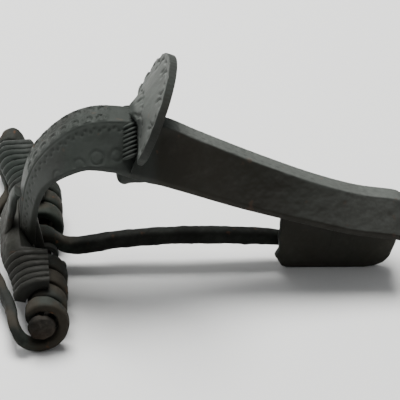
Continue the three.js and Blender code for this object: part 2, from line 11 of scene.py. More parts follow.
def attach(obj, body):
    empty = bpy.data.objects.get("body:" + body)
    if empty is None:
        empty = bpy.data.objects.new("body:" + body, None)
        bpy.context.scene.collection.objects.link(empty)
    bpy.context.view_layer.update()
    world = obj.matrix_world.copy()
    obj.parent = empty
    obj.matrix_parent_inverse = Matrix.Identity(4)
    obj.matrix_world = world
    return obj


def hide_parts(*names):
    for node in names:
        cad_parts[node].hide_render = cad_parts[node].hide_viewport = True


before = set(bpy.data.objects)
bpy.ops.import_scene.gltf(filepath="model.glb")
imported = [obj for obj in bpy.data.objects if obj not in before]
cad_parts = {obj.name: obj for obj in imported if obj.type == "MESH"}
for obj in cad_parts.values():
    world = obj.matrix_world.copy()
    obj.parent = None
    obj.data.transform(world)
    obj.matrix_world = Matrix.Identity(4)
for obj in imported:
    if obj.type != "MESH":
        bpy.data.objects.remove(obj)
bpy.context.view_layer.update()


# THE BOW AND FOOT
# The casting starts as one faceted bar: it rises from the head as a neck, arches over as the bow
# and falls as the foot. Its underside is hollowed, and its facets carry punched ornament.
# Lengths are in millimetres from the ground under the spring's axis, and the frame's zero is at frame_origin
frame_origin = np.array([21.3247, 2.7694, -0.0052])
bow_length = 51.2
bow_height = 27.4
neck_share = 0.068
neck_setback = 3.8
ridge_half = 2.0
bow_half = 6.0
facet_drop = 5.2
bow_wall = 2.1
edge_thickness = 0.8
edge_inset = 0.5
hollow_share = 0.9
foot_turn_run = 6
grid_step = 0.19
# Each row: place along the length, height, then shares of ridge_half, bow_half and facet_drop
bow_rows = np.array([
    [-0.067, 0.212, 0.85, 0.52, 0.27], [-0.068, 0.33, 0.85, 0.53, 0.27], [-0.066, 0.474, 0.9, 0.58, 0.29],
    [-0.057, 0.62, 0.95, 0.68, 0.35], [-0.035, 0.752, 1, 0.82, 0.48], [0.006, 0.865, 1, 0.92, 0.64],
    [0.059, 0.949, 1, 0.98, 0.81], [0.117, 0.99, 1, 1, 0.92], [0.176, 0.995, 0.95, 1, 0.98],
    [0.238, 0.98, 0.85, 0.93, 1.13], [0.324, 0.935, 0.65, 0.82, 1.26], [0.406, 0.862, 0.62, 0.78, 1.17],
    [0.578, 0.716, 0.62, 0.78, 1.0], [0.754, 0.583, 0.6, 0.8, 0.79], [0.875, 0.515, 0.6, 0.82, 0.73],
    [0.984, 0.482, 0.6, 0.83, 0.72], [1, 0.467, 0.55, 0.82, 0.68],
])


def smooth(value, low, high):
    """0 below low, 1 above high, and an even turn between them."""
    share = np.clip((np.asarray(value, float) - low) / (high - low), 0.0, 1.0)
    return share * share * (3.0 - 2.0 * share)


def mix(a, b, share):
    return a + (b - a) * share


def bell(value, spread):
    return np.exp(-((np.asarray(value, float) / spread) ** 2))


def spline(points, t):
    """A smooth curve through the points, with t counted in points."""
    p = np.asarray(points, float)
    p = np.vstack([2 * p[0] - p[1], p, 2 * p[-1] - p[-2]])
    i = np.clip(np.floor(t).astype(int), 0, len(p) - 4)
    w = (t - i)[:, None]
    a, b, c, d = p[i], p[i + 1], p[i + 2], p[i + 3]

    def gap(u, v):
        return np.maximum(np.sum((u - v) ** 2, axis=1, keepdims=True) ** 0.25, 1e-4)

    g0, g1, g2 = gap(a, b), gap(b, c), gap(c, d)
    m1 = ((b - a) / g0 - (c - a) / (g0 + g1) + (c - b) / g1) * g1
    m2 = ((c - b) / g1 - (d - b) / (g1 + g2) + (d - c) / g2) * g1
    return b + m1 * w + (3 * (c - b) - 2 * m1 - m2) * w**2 + (2 * (b - c) + m1 + m2) * w**3


def even_steps(points, step):
    """Values of t along the curve, with an even distance between neighbours."""
    fine = np.linspace(0, len(points) - 1, 4000)
    place = spline(points, fine)
    length = np.concatenate([[0], np.cumsum(np.linalg.norm(np.diff(place, axis=0), axis=1))])
    count = max(int(round(length[-1] / step)), 2)
    wanted = np.linspace(0, length[-1], count + 1)
    return np.interp(wanted, length, fine), wanted


def roughness_at(points, scale, octaves=3):
    """Fractal noise from -1 to 1 at each point."""
    flat = np.asarray(points).reshape(-1, 3) * scale
    values = [noise.fractal(Vector(p), 1.0, 2.0, octaves) for p in flat.tolist()]
    return np.array(values).reshape(np.asarray(points).shape[:-1])


def solid_from(name, points, faces):
    """An object from a closed mesh in millimetres, with its faces turned outwards."""
    mesh = bpy.data.meshes.new(name)
    mesh.from_pydata(((points - frame_origin) / 1000.0).tolist(), [], faces)
    made = bmesh.new()
    made.from_mesh(mesh)
    bmesh.ops.triangulate(made, faces=[f for f in made.faces if len(f.verts) > 4])
    bmesh.ops.recalc_face_normals(made, faces=made.faces)
    if made.calc_volume(signed=True) < 0:
        bmesh.ops.reverse_faces(made, faces=made.faces)
    made.to_mesh(mesh)
    made.free()
    piece = bpy.data.objects.new(name, mesh)
    bpy.context.collection.objects.link(piece)
    return piece


def closed_shell(name, rings):
    """A closed mesh through rows of rings, with a flat face over each end."""
    rings = np.asarray(rings, float)
    rows, count = rings.shape[:2]
    grid = np.arange(rows * count).reshape(rows, count)
    nxt = np.roll(grid, -1, axis=1)
    quads = np.stack([grid[:-1], nxt[:-1], nxt[1:], grid[1:]], axis=-1).reshape(-1, 4)
    faces = quads.tolist() + [grid[0][::-1].tolist(), grid[-1].tolist()]
    return solid_from(name, rings.reshape(-1, 3), faces)


def rounded_ring(corners, radii, counts):
    """Rings of points round polygons whose corners are rounded. corners is rows x corners x 2."""
    corners = np.asarray(corners, float)
    total = corners.shape[1]
    columns = []
    marks = []
    for i in range(total):
        here, there, after = corners[:, i], corners[:, (i + 1) % total], corners[:, (i + 2) % total]
        along = there - here
        length = np.maximum(np.linalg.norm(along, axis=1, keepdims=True), 1e-6)
        onward = after - there
        onward = onward / np.maximum(np.linalg.norm(onward, axis=1, keepdims=True), 1e-6)
        along = along / length
        start = here + along * np.minimum(radii[i], 0.45 * length)
        end = there - along * np.minimum(radii[(i + 1) % total], 0.45 * length)
        for k in range(counts[i] + 1):
            columns.append(mix(start, end, k / counts[i]))
            marks.append(i)
        radius = radii[(i + 1) % total]
        after_length = np.linalg.norm(after - there, axis=1, keepdims=True)
        leave = there + onward * np.minimum(radius, 0.45 * after_length)
        for w in (0.33, 0.67):
            columns.append((1 - w) ** 2 * end + 2 * w * (1 - w) * there + w**2 * leave)
            marks.append(i + 0.5)
    return np.stack(columns, axis=1), np.array(marks)


bow_line = np.array([
    [(a / neck_share) * neck_setback if a < 0 else a * bow_length, 0.0, h * bow_height]
    for a, h in bow_rows[:, :2]])
bow_sizes = bow_rows[:, 2:] * [ridge_half, bow_half, facet_drop]
row_t, row_s = even_steps(bow_line, grid_step)
bow_place = spline(bow_line, row_t)
bow_size = spline(bow_sizes, row_t)
bow_along = np.gradient(bow_place, axis=0)
bow_along /= np.linalg.norm(bow_along, axis=1, keepdims=True)
bow_up = np.stack([-bow_along[:, 2], np.zeros(len(row_t)), bow_along[:, 0]], axis=1)
upright_share = smooth(bow_place[:, 0], bow_length - foot_turn_run, bow_length)
bow_up = mix(bow_up, np.array([0, 0, 1.0]), upright_share[:, None])
bow_up /= np.linalg.norm(bow_up, axis=1, keepdims=True)
top, base, depth = bow_size.T
low = -depth - edge_thickness
inset = np.minimum(edge_inset, base - top)
roof = np.maximum(-bow_wall, low + 0.01)
half = np.stack([np.stack([top, 0 * top], 1), np.stack([base, -depth], 1), np.stack([base, low], 1),
                 np.stack([base - inset, low], 1), np.stack([hollow_share * top, roof], 1)], axis=1)
bow_corners = np.concatenate([half[:, ::-1] * [-1, 1], half], axis=1)
corner_radii = [0.1, 0.1, 0.12, 0.2, 0.22]
facet_count = 34
ridge_count = 20
bow_flat, bow_marks = rounded_ring(bow_corners, corner_radii + corner_radii[::-1],
                                   [6, 2, 2, facet_count, ridge_count, facet_count, 2, 2, 6, 3])


def bow_points(flat):
    return bow_place[:, None] + bow_up[:, None] * flat[..., 1:] + np.array([0, 1, 0]) * flat[..., :1]


# Place on the facets: how far a point is along the bow, and how far it is from the ridge
bow_skin = bow_points(bow_flat)
near_side = bow_marks == 3
top_side = bow_marks == 4
far_side = bow_marks == 5
ridge_corner = np.stack([np.sign(bow_flat[..., 0]) * top[:, None], 0 * bow_flat[..., 0]], -1)
ridge_gap = np.linalg.norm(bow_flat - ridge_corner, axis=-1)
along_bow = np.repeat(row_s[:, None], bow_flat.shape[1], axis=1)
collar_x = 10.2
foot_x = 15.8
not_the_neck = 10 * (bow_place[:, 2] < 20)
collar_row = int(np.argmin(np.abs(bow_place[:, 0] - collar_x) + not_the_neck))
foot_row = int(np.argmin(np.abs(bow_place[:, 0] - foot_x) + not_the_neck))
on_bow = along_bow < row_s[collar_row]
on_foot = along_bow > row_s[foot_row]
relief = np.zeros(bow_flat.shape[:2])

# Punched dots in a waved line beside each ridge, and a scored line between them and the ridge
dot_pitch = 0.72
dot_depth = 0.15
dot_radius = 0.2
dot_line_gap = 1.15
dot_wave = 0.22
score_gap = 0.3
score_depth = 0.08
score_width = 0.1
on_side = near_side | far_side
wave = dot_line_gap + dot_wave * np.sin(2 * math.pi * along_bow / (2 * dot_pitch))
dots = bell((along_bow % dot_pitch) - dot_pitch / 2, dot_radius) * bell(ridge_gap - wave, dot_radius)
score = bell(ridge_gap - score_gap, score_width)
relief -= np.where(on_side & on_bow, dot_depth * dots + score_depth * score, 0)

# Ring punches: large ones on the side facets, small ones in two rows on the top facets. Each large one
# has its place along the bow, its distance from the ridge and its radius.
ring_punches = [(0.3, 3.1, 0.5), (0.55, 4.9, 0.6), (0.69, 4.8, 0.75), (0.83, 4.9, 0.95), (0.965, 4.8, 0.8)]
ring_depth = 0.09
ring_line = 0.2
bow_run = row_s[collar_row]


def punch_ring(centre, radius, depth, line, side):
    """Adds a ring to the relief round a point of the surface, on one side only."""
    gap = np.linalg.norm(bow_skin - centre, axis=-1)
    return np.where(side, -depth * bell(gap - radius, line), 0)


def skin_point(share_row, wanted_gap, side, sign):
    """The surface point in a row whose distance from the ridge is nearest to the wanted one."""
    columns = np.flatnonzero(side & (np.sign(bow_flat[share_row, :, 0]) == sign))
    best = columns[np.argmin(np.abs(ridge_gap[share_row, columns] - wanted_gap))]
    return bow_skin[share_row, best]


for share, gap, radius in ring_punches:
    row = int(np.searchsorted(row_s, share * bow_run))
    for side, sign in ((near_side, -1), (far_side, 1)):
        relief += punch_ring(skin_point(row, gap, side, sign), radius, ring_depth, ring_line, side)
top_ring_pitch = 1.9
top_ring_radius = 0.5
top_ring_gap = 1.05
top_ring_start = 0.44
top_ring_run = 0.52
top_ring_stagger = 0.5
for side_y in (-top_ring_gap, top_ring_gap):
    stagger = top_ring_stagger if side_y > 0 else 0
    for k in range(int(bow_run * top_ring_run / top_ring_pitch)):
        row = int(np.searchsorted(row_s, bow_run * top_ring_start + k * top_ring_pitch + stagger))
        centre = bow_place[row] + [0, side_y, 0]
        relief += punch_ring(centre, top_ring_radius, 0.16, 0.14, top_side)
        relief += punch_ring(centre, top_ring_radius + 0.3, -0.12, 0.16, top_side)
foot_ring_pitch = 1.35
foot_ring_radius = 0.26
foot_ring_depth = 0.1
foot_ring_line = 0.12
foot_ring_gap = 0.78
foot_ring_start = 0.8
foot_rings = int((row_s[-1] - row_s[foot_row] - 3) / foot_ring_pitch)
for side_y in (-foot_ring_gap, foot_ring_gap):
    for k in range(foot_rings):
        row = int(np.searchsorted(row_s, row_s[foot_row] + foot_ring_start + k * foot_ring_pitch))
        worn_depth = foot_ring_depth * mix(1.0, 0.35, k / foot_rings)
        centre = bow_place[row] + [0, side_y, 0]
        relief += punch_ring(centre, foot_ring_radius, worn_depth, foot_ring_line, top_side)

# The skin is a little uneven all over, and more so on the foot
skin_wear = 0.035
foot_wear = 0.008
outer_skin = on_side | top_side
relief += np.where(outer_skin, skin_wear * roughness_at(bow_skin, 0.55), 0)
relief += np.where(outer_skin & on_foot, foot_wear * roughness_at(bow_skin, 2.2), 0)
facet_out = np.zeros(bow_flat.shape)
side_run = np.stack([depth, base - top], 1) / np.hypot(depth, base - top)[:, None]
facet_out[:, far_side] = side_run[:, None]
facet_out[:, near_side] = (side_run * [-1, 1])[:, None]
facet_out[:, top_side] = [0, 1]
bow_bar = closed_shell("bow", bow_points(bow_flat + facet_out * relief[..., None]))


# THE CREST
# A flared half disc stands across the bow where the foot begins. It is cast with the bow, its rim is
# milled all round, its front is stamped with crescents, and its far edge is chipped.
crest_place = 0.239
crest_sink = 1.8
crest_lean = math.radians(19.9)
crest_twist = math.tan(math.radians(4.5))
crest_half_width = 8.7
crest_height = 10.75
crest_band = 1.2
crest_front_depth = 2.1
crest_back_depth = 2.0
crest_flank = 4.3
crest_root_x = -0.25
crest_fin = 2.2
crest_fin_half = 6.3
crest_fin_setback = 0.75
crest_fin_thickness = 1.1
chip_depth = 0.55
chips = ((24, 5.5, 1.0), (9, 4, 0.8), (-4, 2.5, 1.5))
chip_teeth = 0.028
chip_teeth_rate = 9.0
chip_teeth_end = math.radians(62)
mill_pitch = 0.62
mill_depth = 0.09
rim_margin = 0.02
rim_swell = 0.05
front_flare = 1.8
back_flare = 1.6
crest_base = np.array([crest_place * bow_length, 0.0, bow_height - crest_sink])
crest_up = np.array([math.sin(crest_lean), 0, math.cos(crest_lean)])
crest_back = np.array([math.cos(crest_lean), 0, -math.sin(crest_lean)])
crest_side = np.array([crest_twist, 1.0, 0.0])


def mirrored(half_outline):
    half_outline = np.asarray(half_outline, float)
    return np.vstack([half_outline, half_outline[::-1] * [-1, 1]])


def chip_at(angle):
    """How deep the rim is chipped, where each chip has its place in degrees, its spread and its depth."""
    return sum(chip_depth * deep * bell(np.degrees(angle) - middle, spread) for middle, spread, deep in chips)


def reach_of(outline, angles):
    """Distance from the middle to a closed outline in each direction."""
    a = outline
    b = np.roll(outline, -1, axis=0)
    e = b - a
    best = np.zeros(len(angles))
    for k, angle in enumerate(angles):
        d = np.array([math.cos(angle), math.sin(angle)])
        cross = d[0] * e[:, 1] - d[1] * e[:, 0]
        cross = np.where(np.abs(cross) < 1e-9, 1e-9, cross)
        t = (a[:, 0] * e[:, 1] - a[:, 1] * e[:, 0]) / cross
        s = (a[:, 0] * d[1] - a[:, 1] * d[0]) / cross
        good = (t > 0) & (s >= -1e-6) & (s <= 1 + 1e-6)
        best[k] = t[good].max()
    return best


roof_outline = mirrored([[2.0, 1.75], [5.9, -crest_flank + 0.4], [5.9, -crest_flank - 0.3]])
saddle_outline = mirrored([[1.2, 0.4], [4.6, -crest_flank - 0.6], [4.2, -crest_flank - 1.4]])
rim_angle = np.linspace(rim_margin, math.pi - rim_margin, 160)
rim_share = 1 - chip_at(rim_angle) / crest_half_width
teeth = np.array([noise.noise(Vector((a * chip_teeth_rate, 4.2, 0.5))) for a in rim_angle.tolist()])
rim_share -= chip_teeth * smooth(teeth, -0.1, 0.1) * (rim_angle < chip_teeth_end) * (rim_angle > 0.1)
rim_outline = np.stack([crest_half_width * rim_share * np.cos(rim_angle),
                        crest_height * rim_share * np.sin(rim_angle)], axis=1)
fin_outline = mirrored([[-crest_half_width + 0.9, -0.6 * crest_fin], [-crest_fin_half, -crest_fin]])
rim_outline = np.vstack([rim_outline, fin_outline])
crest_sides = 264
crest_angle = np.linspace(0, 2 * math.pi, crest_sides, endpoint=False)
crest_roof = reach_of(roof_outline, crest_angle)
crest_saddle = reach_of(saddle_outline, crest_angle)
crest_rim = reach_of(rim_outline, crest_angle)
front_rows = 40
back_rows = 22
face_end = 0.985
crest_layers = [("front", g) for g in np.linspace(0, face_end, front_rows)]
crest_layers += [("band", b) for b in (0.04, 0.12, 0.25, 0.4, 0.6, 0.75, 0.88, 0.96)]
crest_layers += [("back", g) for g in np.linspace(face_end, 0, back_rows)]
upper_rim = smooth(np.sin(crest_angle), -0.25, -0.1)
rim_run = crest_angle * (crest_half_width + crest_height) / 2
fin = 1 - smooth(np.sin(crest_angle), -0.32, 0)
over_top = smooth(np.sin(crest_angle), 0.4, 0.9)
front_plane = crest_fin_setback * fin
back_plane = mix(crest_band, crest_fin_thickness, fin)


def crest_row(kind, level):
    """One ring of the crest: on its front, over its rim, or on its back."""
    if kind == "band":
        milled = mill_depth * (0.5 + 0.5 * np.cos(2 * math.pi * rim_run / mill_pitch))
        reach = crest_rim + (rim_swell - upper_rim * milled) * math.sin(math.pi * level) ** 0.4
        offset = mix(front_plane, back_plane, level)
    else:
        root = crest_roof if kind == "front" else crest_saddle
        reach = mix(root, crest_rim, level)
    flat = np.stack([reach * np.cos(crest_angle), reach * np.sin(crest_angle)], axis=1)
    if kind == "front":
        drop = flat[:, 1] * math.sin(crest_lean)
        upright = (crest_root_x - drop - flat[:, 0] * crest_twist) / math.cos(crest_lean)
        root_place = mix(np.minimum(upright, 0.7), -crest_front_depth, over_top)
        offset = mix(front_plane, root_place, (1 - level) ** front_flare)
    if kind == "back":
        offset = back_plane + crest_back_depth * (1 - level) ** back_flare
    return crest_base + crest_back * offset[:, None] + crest_up * flat[:, 1:] + crest_side * flat[:, :1]


crest_rings = np.array([crest_row(kind, level) for kind, level in crest_layers])

# Crescent stamps: a row inside the rim and a row round the base, pressed into the front only. Each row
# has its share of the way to the rim, its count and its radius.
stamp_rows = ((0.82, 12, 0.78), (0.22, 8, 0.72))
stamp_depth = 0.27
stamp_line = 0.2
stamp_turn = 0.9
stamp_margin = 0.06
crest_wear = 0.04
crest_press = np.zeros(crest_rings.shape[:2])
front = np.arange(len(crest_layers)) < front_rows
for share, count, radius in stamp_rows:
    for k in range(count):
        angle = mix(stamp_margin, math.pi - stamp_margin, (k + 0.5) / count)
        row = int(share / face_end * (front_rows - 1))
        away = crest_rings - crest_rings[row, int(angle / (2 * math.pi) * crest_sides)]
        gap = np.linalg.norm(away, axis=-1)
        turn = angle + (stamp_turn if k % 2 else -stamp_turn)
        bulge = crest_side * math.cos(turn) + crest_up * math.sin(turn)
        closed_side = smooth((away @ bulge) / np.maximum(gap, 1e-6), -0.5, 0.1)
        crest_press += bell(gap - radius, stamp_line) * closed_side
crest_press = np.where(front[:, None], np.minimum(crest_press, 1.0) * stamp_depth, 0)
crest_rings += crest_back * crest_press[..., None]
crest_rings += crest_back * (crest_wear * roughness_at(crest_rings, 0.5) * front[:, None])[..., None]
crest = closed_shell("crest", crest_rings)


# THE BEADED RING AND THE LUG
# A ring of slanting beads frames the crest's front, and ends under the bow in a rounded lug.
# Both are cast with the bow, and the beads are sharpened with a chisel.
bead_pitch = 0.6
bead_length = 2.3
bead_width = 0.6
bead_height = 0.9
bead_slant = -24.0
bead_setback = 1.4
collar_half = 4.7
collar_top_half = 2.0
collar_top = 1.1
collar_foot = -crest_flank + 2.0
lug_width = 7.6
lug_depth = 3.6
lug_length = 2.2
lug_fillet = 2.0
lug_setback = 1.75
lug_root = 1.6
lug_arc = 0.65 * math.pi
lug_arc_steps = 12


def new_tree(name, inputs):
    """A geometry tree with named inputs, each a socket type and a start value."""
    tree = bpy.data.node_groups.new(name, "GeometryNodeTree")
    tree.interface.new_socket("Geometry", in_out="INPUT", socket_type="NodeSocketGeometry")
    for label, kind, value in inputs:
        tree.interface.new_socket(label, in_out="INPUT", socket_type=kind).default_value = value
    tree.interface.new_socket("Geometry", in_out="OUTPUT", socket_type="NodeSocketGeometry")
    return tree, tree.nodes.new("NodeGroupInput"), tree.nodes.new("NodeGroupOutput")


def add_node(tree, kind, links=None, **settings):
    """A node with its settings, its inputs filled by value or linked to other sockets."""
    made = tree.nodes.new(kind)
    for key, value in settings.items():
        setattr(made, key, value)
    for key, value in (links or {}).items():
        if isinstance(value, bpy.types.NodeSocket):
            tree.links.new(value, made.inputs[key])
        else:
            made.inputs[key].default_value = value
    return made


def plain_mesh(piece):
    """Turns a piece and its modifiers into a plain mesh."""
    depsgraph = bpy.context.evaluated_depsgraph_get()
    mesh = bpy.data.meshes.new_from_object(piece.evaluated_get(depsgraph))
    piece.modifiers.clear()
    piece.data = mesh
    return piece


def bead_string():
    """Slanting beads in a row along the collar's three sides."""
    corners = [[collar_half, collar_foot], [collar_top_half, collar_top],
               [-collar_top_half, collar_top], [-collar_half, collar_foot]]
    path = np.array([crest_base + [-bead_setback, y, rise] for y, rise in corners])
    mesh = bpy.data.meshes.new("beads")
    mesh.from_pydata(((path - frame_origin) / 1000).tolist(), [(i, i + 1) for i in range(3)], [])
    beads = bpy.data.objects.new("beads", mesh)
    bpy.context.collection.objects.link(beads)
    tree, start, end = new_tree("Beads along a collar", [
        ("Bead pitch", "NodeSocketFloat", bead_pitch / 1000),
        ("Bead size", "NodeSocketVector", (bead_length / 2000, bead_width / 2000, bead_height / 2000)),
        ("Slant", "NodeSocketFloat", math.radians(bead_slant)),
    ])
    curve = add_node(tree, "GeometryNodeMeshToCurve", {"Mesh": start.outputs["Geometry"]})
    spaced = add_node(tree, "GeometryNodeResampleCurve", {
        "Curve": curve.outputs["Curve"], "Length": start.outputs["Bead pitch"]}, mode="LENGTH")
    tangent = add_node(tree, "GeometryNodeInputTangent")
    turned = add_node(tree, "FunctionNodeAlignRotationToVector", {
        "Vector": tangent.outputs["Tangent"]}, axis="Y")
    spin = add_node(tree, "ShaderNodeCombineXYZ", {"Z": start.outputs["Slant"]})
    slanted = add_node(tree, "FunctionNodeRotateRotation", {
        "Rotation": turned.outputs["Rotation"], "Rotate By": spin.outputs["Vector"]}, rotation_space="LOCAL")
    bead = add_node(tree, "GeometryNodeMeshUVSphere", {"Segments": 12, "Rings": 8, "Radius": 1.0})
    placed = add_node(tree, "GeometryNodeInstanceOnPoints", {
        "Points": spaced.outputs["Curve"], "Instance": bead.outputs["Mesh"],
        "Rotation": slanted.outputs["Rotation"], "Scale": start.outputs["Bead size"]})
    real = add_node(tree, "GeometryNodeRealizeInstances", {"Geometry": placed.outputs["Instances"]})
    finish = add_node(tree, "GeometryNodeSetMaterial", {"Geometry": real.outputs["Geometry"]})
    tree.links.new(finish.outputs["Geometry"], end.inputs["Geometry"])
    beads.modifiers.new("beads", "NODES").node_group = tree
    return plain_mesh(beads)


def rounded_lug():
    """A block under the bow with a half-round lower edge, filleted into the foot behind it."""
    rows = []
    half_length = lug_length / 2
    back = half_length + lug_fillet
    for y in np.linspace(-lug_width / 2, lug_width / 2, 41):
        end = math.sqrt(max(1 - (abs(y) / (lug_width / 2)) ** 6, 0.02))
        ring = []
        for k in range(lug_arc_steps + 1):
            angle = math.pi + lug_arc * k / lug_arc_steps
            ring.append([half_length * end * math.cos(angle),
                         half_length * end * math.sin(angle) - lug_depth + half_length + 0.5 * (1 - end)])
        last = ring[-1]
        bend = [half_length, 0.8 - lug_depth]
        far_foot = [back, 1.15 - lug_depth]
        for w in (0.2, 0.4, 0.6, 0.8, 1.0):
            ring.append([(1 - w) ** 2 * a + 2 * w * (1 - w) * b + w * w * c
                         for a, b, c in zip(last, bend, far_foot)])
        ring += [[back, lug_root], [-half_length, lug_root]]
        rows.append([[x + crest_base[0] - lug_setback, y, z + crest_base[2] - crest_flank - 0.6]
                     for x, z in ring])
    return closed_shell("lug", rows)


beads = bead_string()
lug = rounded_lug()


# THE HEAD WITH ITS TWO CAPS
# The neck ends below in a front block, which spreads into two ribbed caps over the spring's upper
# front. All are cast in one with the bow, and the far cap has been bent forward with the spring.
axis_height = 4.0
coil_reach = 2.9
cap_clearance = 0.45
cap_wall = 1.05
cap_step = 0.5
cap_steps = 40
head_reach = 6.7
cap_reach = 4.9
head_half = 5.9
head_back_edge = math.radians(130)
cap_back_edge = 91
cap_front_edge = math.radians(168)
cap_roll = (math.radians(91), math.radians(150))
near_cap_end = 13.5
far_cap_end = 20.0
far_cap_skew = 1.6
far_cap_plain = 10.6
far_cap_overlap = 8
rib_pitch = 1.18
rib_height = 0.36
rib_steps = 10
far_bend = 1.7
cap_inner = coil_reach + cap_clearance
cap_top = cap_inner + cap_wall


def bend_at(y):
    return -far_bend * smooth(y, far_cap_plain, far_cap_end)


def ribs_along(run, count, span):
    """Rounded ribs along a cap: 0 in a groove and 1 on a rib."""
    return np.abs(np.sin(math.pi * count * run / span)) ** 0.7


def cap_ring(y, rib):
    """One section of the head or a cap: the outer skin from back to front, then the inner one."""
    open_share = smooth(abs(y), head_half, head_half + cap_step)
    far_share = smooth(y, head_half, far_cap_plain) * (1 - smooth(y, far_cap_end - 1.3, far_cap_end))
    back_edge = mix(head_back_edge, math.radians(cap_back_edge - far_cap_overlap * far_share), open_share)
    reach = mix(head_reach, cap_reach, smooth(abs(y), 3, 12.5))
    angle = np.linspace(back_edge, cap_front_edge, cap_steps)
    rib_rise = rib_height * rib * smooth(cap_front_edge - angle, 0, 0.12)
    out = mix(cap_top, reach, smooth(angle, *cap_roll)) + rib_rise
    outer = np.stack([out * np.cos(angle), out * np.sin(angle)], axis=1)
    inner_angle = angle[::-1][::3]
    inner = cap_inner * np.stack([np.cos(inner_angle), np.sin(inner_angle)], axis=1)
    flat = np.vstack([outer, inner])
    front_share = smooth(np.arctan2(flat[:, 1], flat[:, 0]), *cap_roll) ** 2
    skewed = y + far_cap_skew * front_share * smooth(y, far_cap_plain, far_cap_end)
    return np.stack([flat[:, 0] + bend_at(skewed), skewed, flat[:, 1] + axis_height], axis=1)


def caps_shell():
    """The front block and both caps in one loft along the spring."""
    near_start = -head_half - cap_step
    near_span = near_cap_end - head_half - cap_step
    far_span = far_cap_end - far_cap_plain
    near_ribs = round(near_span / rib_pitch)
    far_ribs = round(far_span / rib_pitch)
    y_near = np.linspace(-near_cap_end, near_start, near_ribs * rib_steps + 1)
    y_middle = np.linspace(near_start + 0.05, far_cap_plain - 0.05, 60)
    y_far = np.linspace(far_cap_plain, far_cap_end, far_ribs * rib_steps + 1)
    ribs = [ribs_along(near_start - y_near, near_ribs, near_span), np.zeros(len(y_middle)),
            ribs_along(y_far - far_cap_plain, far_ribs, far_span)]
    along = zip(np.concatenate([y_near, y_middle, y_far]), np.concatenate(ribs))
    rings = np.array([cap_ring(y, rib) for y, rib in along])
    wear = 0.07 * roughness_at(rings, 0.6) + 0.04 * roughness_at(rings, 2.0)
    middle = np.stack([bend_at(rings[..., 1]), rings[..., 1], np.full(rings.shape[:2], axis_height)], axis=-1)
    outward = rings - middle
    outward /= np.linalg.norm(outward, axis=-1, keepdims=True)
    is_outer = np.arange(rings.shape[1]) < cap_steps
    rings += outward * (wear * is_outer)[..., None]
    return closed_shell("caps", rings)


caps = caps_shell()


# THE HOOK AND THE AXLE'S EYE
# A flat strip rises from the front block and closes on the neck: the chord is caught behind it.
# A pierced disc behind the neck carries the axle. Both are part of the casting.
hook_thickness = 1.1
hook_width = 2.6
axle_radius = 0.8
axle_clearance = 0.3
eye_wall = 0.65
eye_thickness = 1.0
eye_middle = -1.95
eye_sides = 48
bar_stations = 8
bar_depth = 1.5


def swept_band(name, places, normals, widths, thicknesses, wear=0.0, squareness=0.55, around=16):
    """A band with rounded corners, swept along its stations."""
    places, normals = np.asarray(places, float), np.asarray(normals, float)
    along = np.gradient(places, axis=0)
    along /= np.linalg.norm(along, axis=1, keepdims=True)
    across = normals - along * np.sum(normals * along, axis=1, keepdims=True)
    across /= np.linalg.norm(across, axis=1, keepdims=True)
    side = np.cross(along, across)
    turn = np.linspace(0, 2 * math.pi, around, endpoint=False)
    profile = np.stack([np.sign(np.cos(turn)) * np.abs(np.cos(turn)) ** squareness,
                        np.sign(np.sin(turn)) * np.abs(np.sin(turn)) ** squareness], axis=1)
    widths = np.broadcast_to(widths, len(places))[:, None, None]
    thicknesses = np.broadcast_to(thicknesses, len(places))[:, None, None]
    rings = (places[:, None] + side[:, None] * profile[None, :, :1] * widths / 2
             + across[:, None] * profile[None, :, 1:] * thicknesses / 2)
    if wear:
        outward = rings - places[:, None]
        outward /= np.linalg.norm(outward, axis=-1, keepdims=True)
        rings += outward * (wear * roughness_at(rings, 0.7, 4))[..., None]
    return closed_shell(name, rings)


def hook_shell():
    route = np.array([[-5.5, 0, 7.2], [-5.2, 0, 9.2], [-4.85, 0, 11], [-4.75, 0, 12.2],
                      [-4.6, 0, 13.1], [-4.15, 0, 13.9]])
    t, _ = even_steps(route, 0.25)
    places = spline(route, t)
    along = np.gradient(places, axis=0)
    normals = np.stack([-along[:, 2], 0 * along[:, 0], along[:, 0]], axis=1)
    widths = mix(hook_width + 0.7, hook_width - 0.2, smooth(places[:, 2], 7.5, 12))
    return swept_band("hook", places, normals, widths, hook_thickness, wear=0.08, around=24)


def axle_eye_and_bar():
    """A disc with a hole for the axle, and the bar that joins it to the neck above."""
    hole = axle_radius + axle_clearance
    rim = hole + eye_wall
    corners = [(hole, -0.5), (rim, -0.5), (rim, 0.5), (hole, 0.5)]
    turn = np.linspace(0, 2 * math.pi, eye_sides, endpoint=False)
    rings = np.array([[[r * math.cos(a), eye_middle + side * eye_thickness, axis_height + r * math.sin(a)]
                       for r, side in corners] for a in turn])
    grid = np.arange(eye_sides * 4).reshape(eye_sides, 4)
    down = np.roll(grid, -1, axis=0)
    quads = np.stack([grid, np.roll(grid, -1, axis=1), np.roll(down, -1, axis=1), down], axis=-1)
    eye = solid_from("axle_eye", rings.reshape(-1, 3), quads.reshape(-1, 4).tolist())
    foot = np.array([-0.9, eye_middle, axis_height + 1.35])
    head = np.array([-2.5, eye_middle, 12.0])
    places = mix(foot, head, np.linspace(0, 1, bar_stations)[:, None])
    normals = np.tile([1.0, 0, 0], (bar_stations, 1))
    return eye, swept_band("axle_bar", places, normals, eye_thickness, bar_depth, squareness=0.4)


hook = hook_shell()
axle_eye, axle_bar = axle_eye_and_bar()


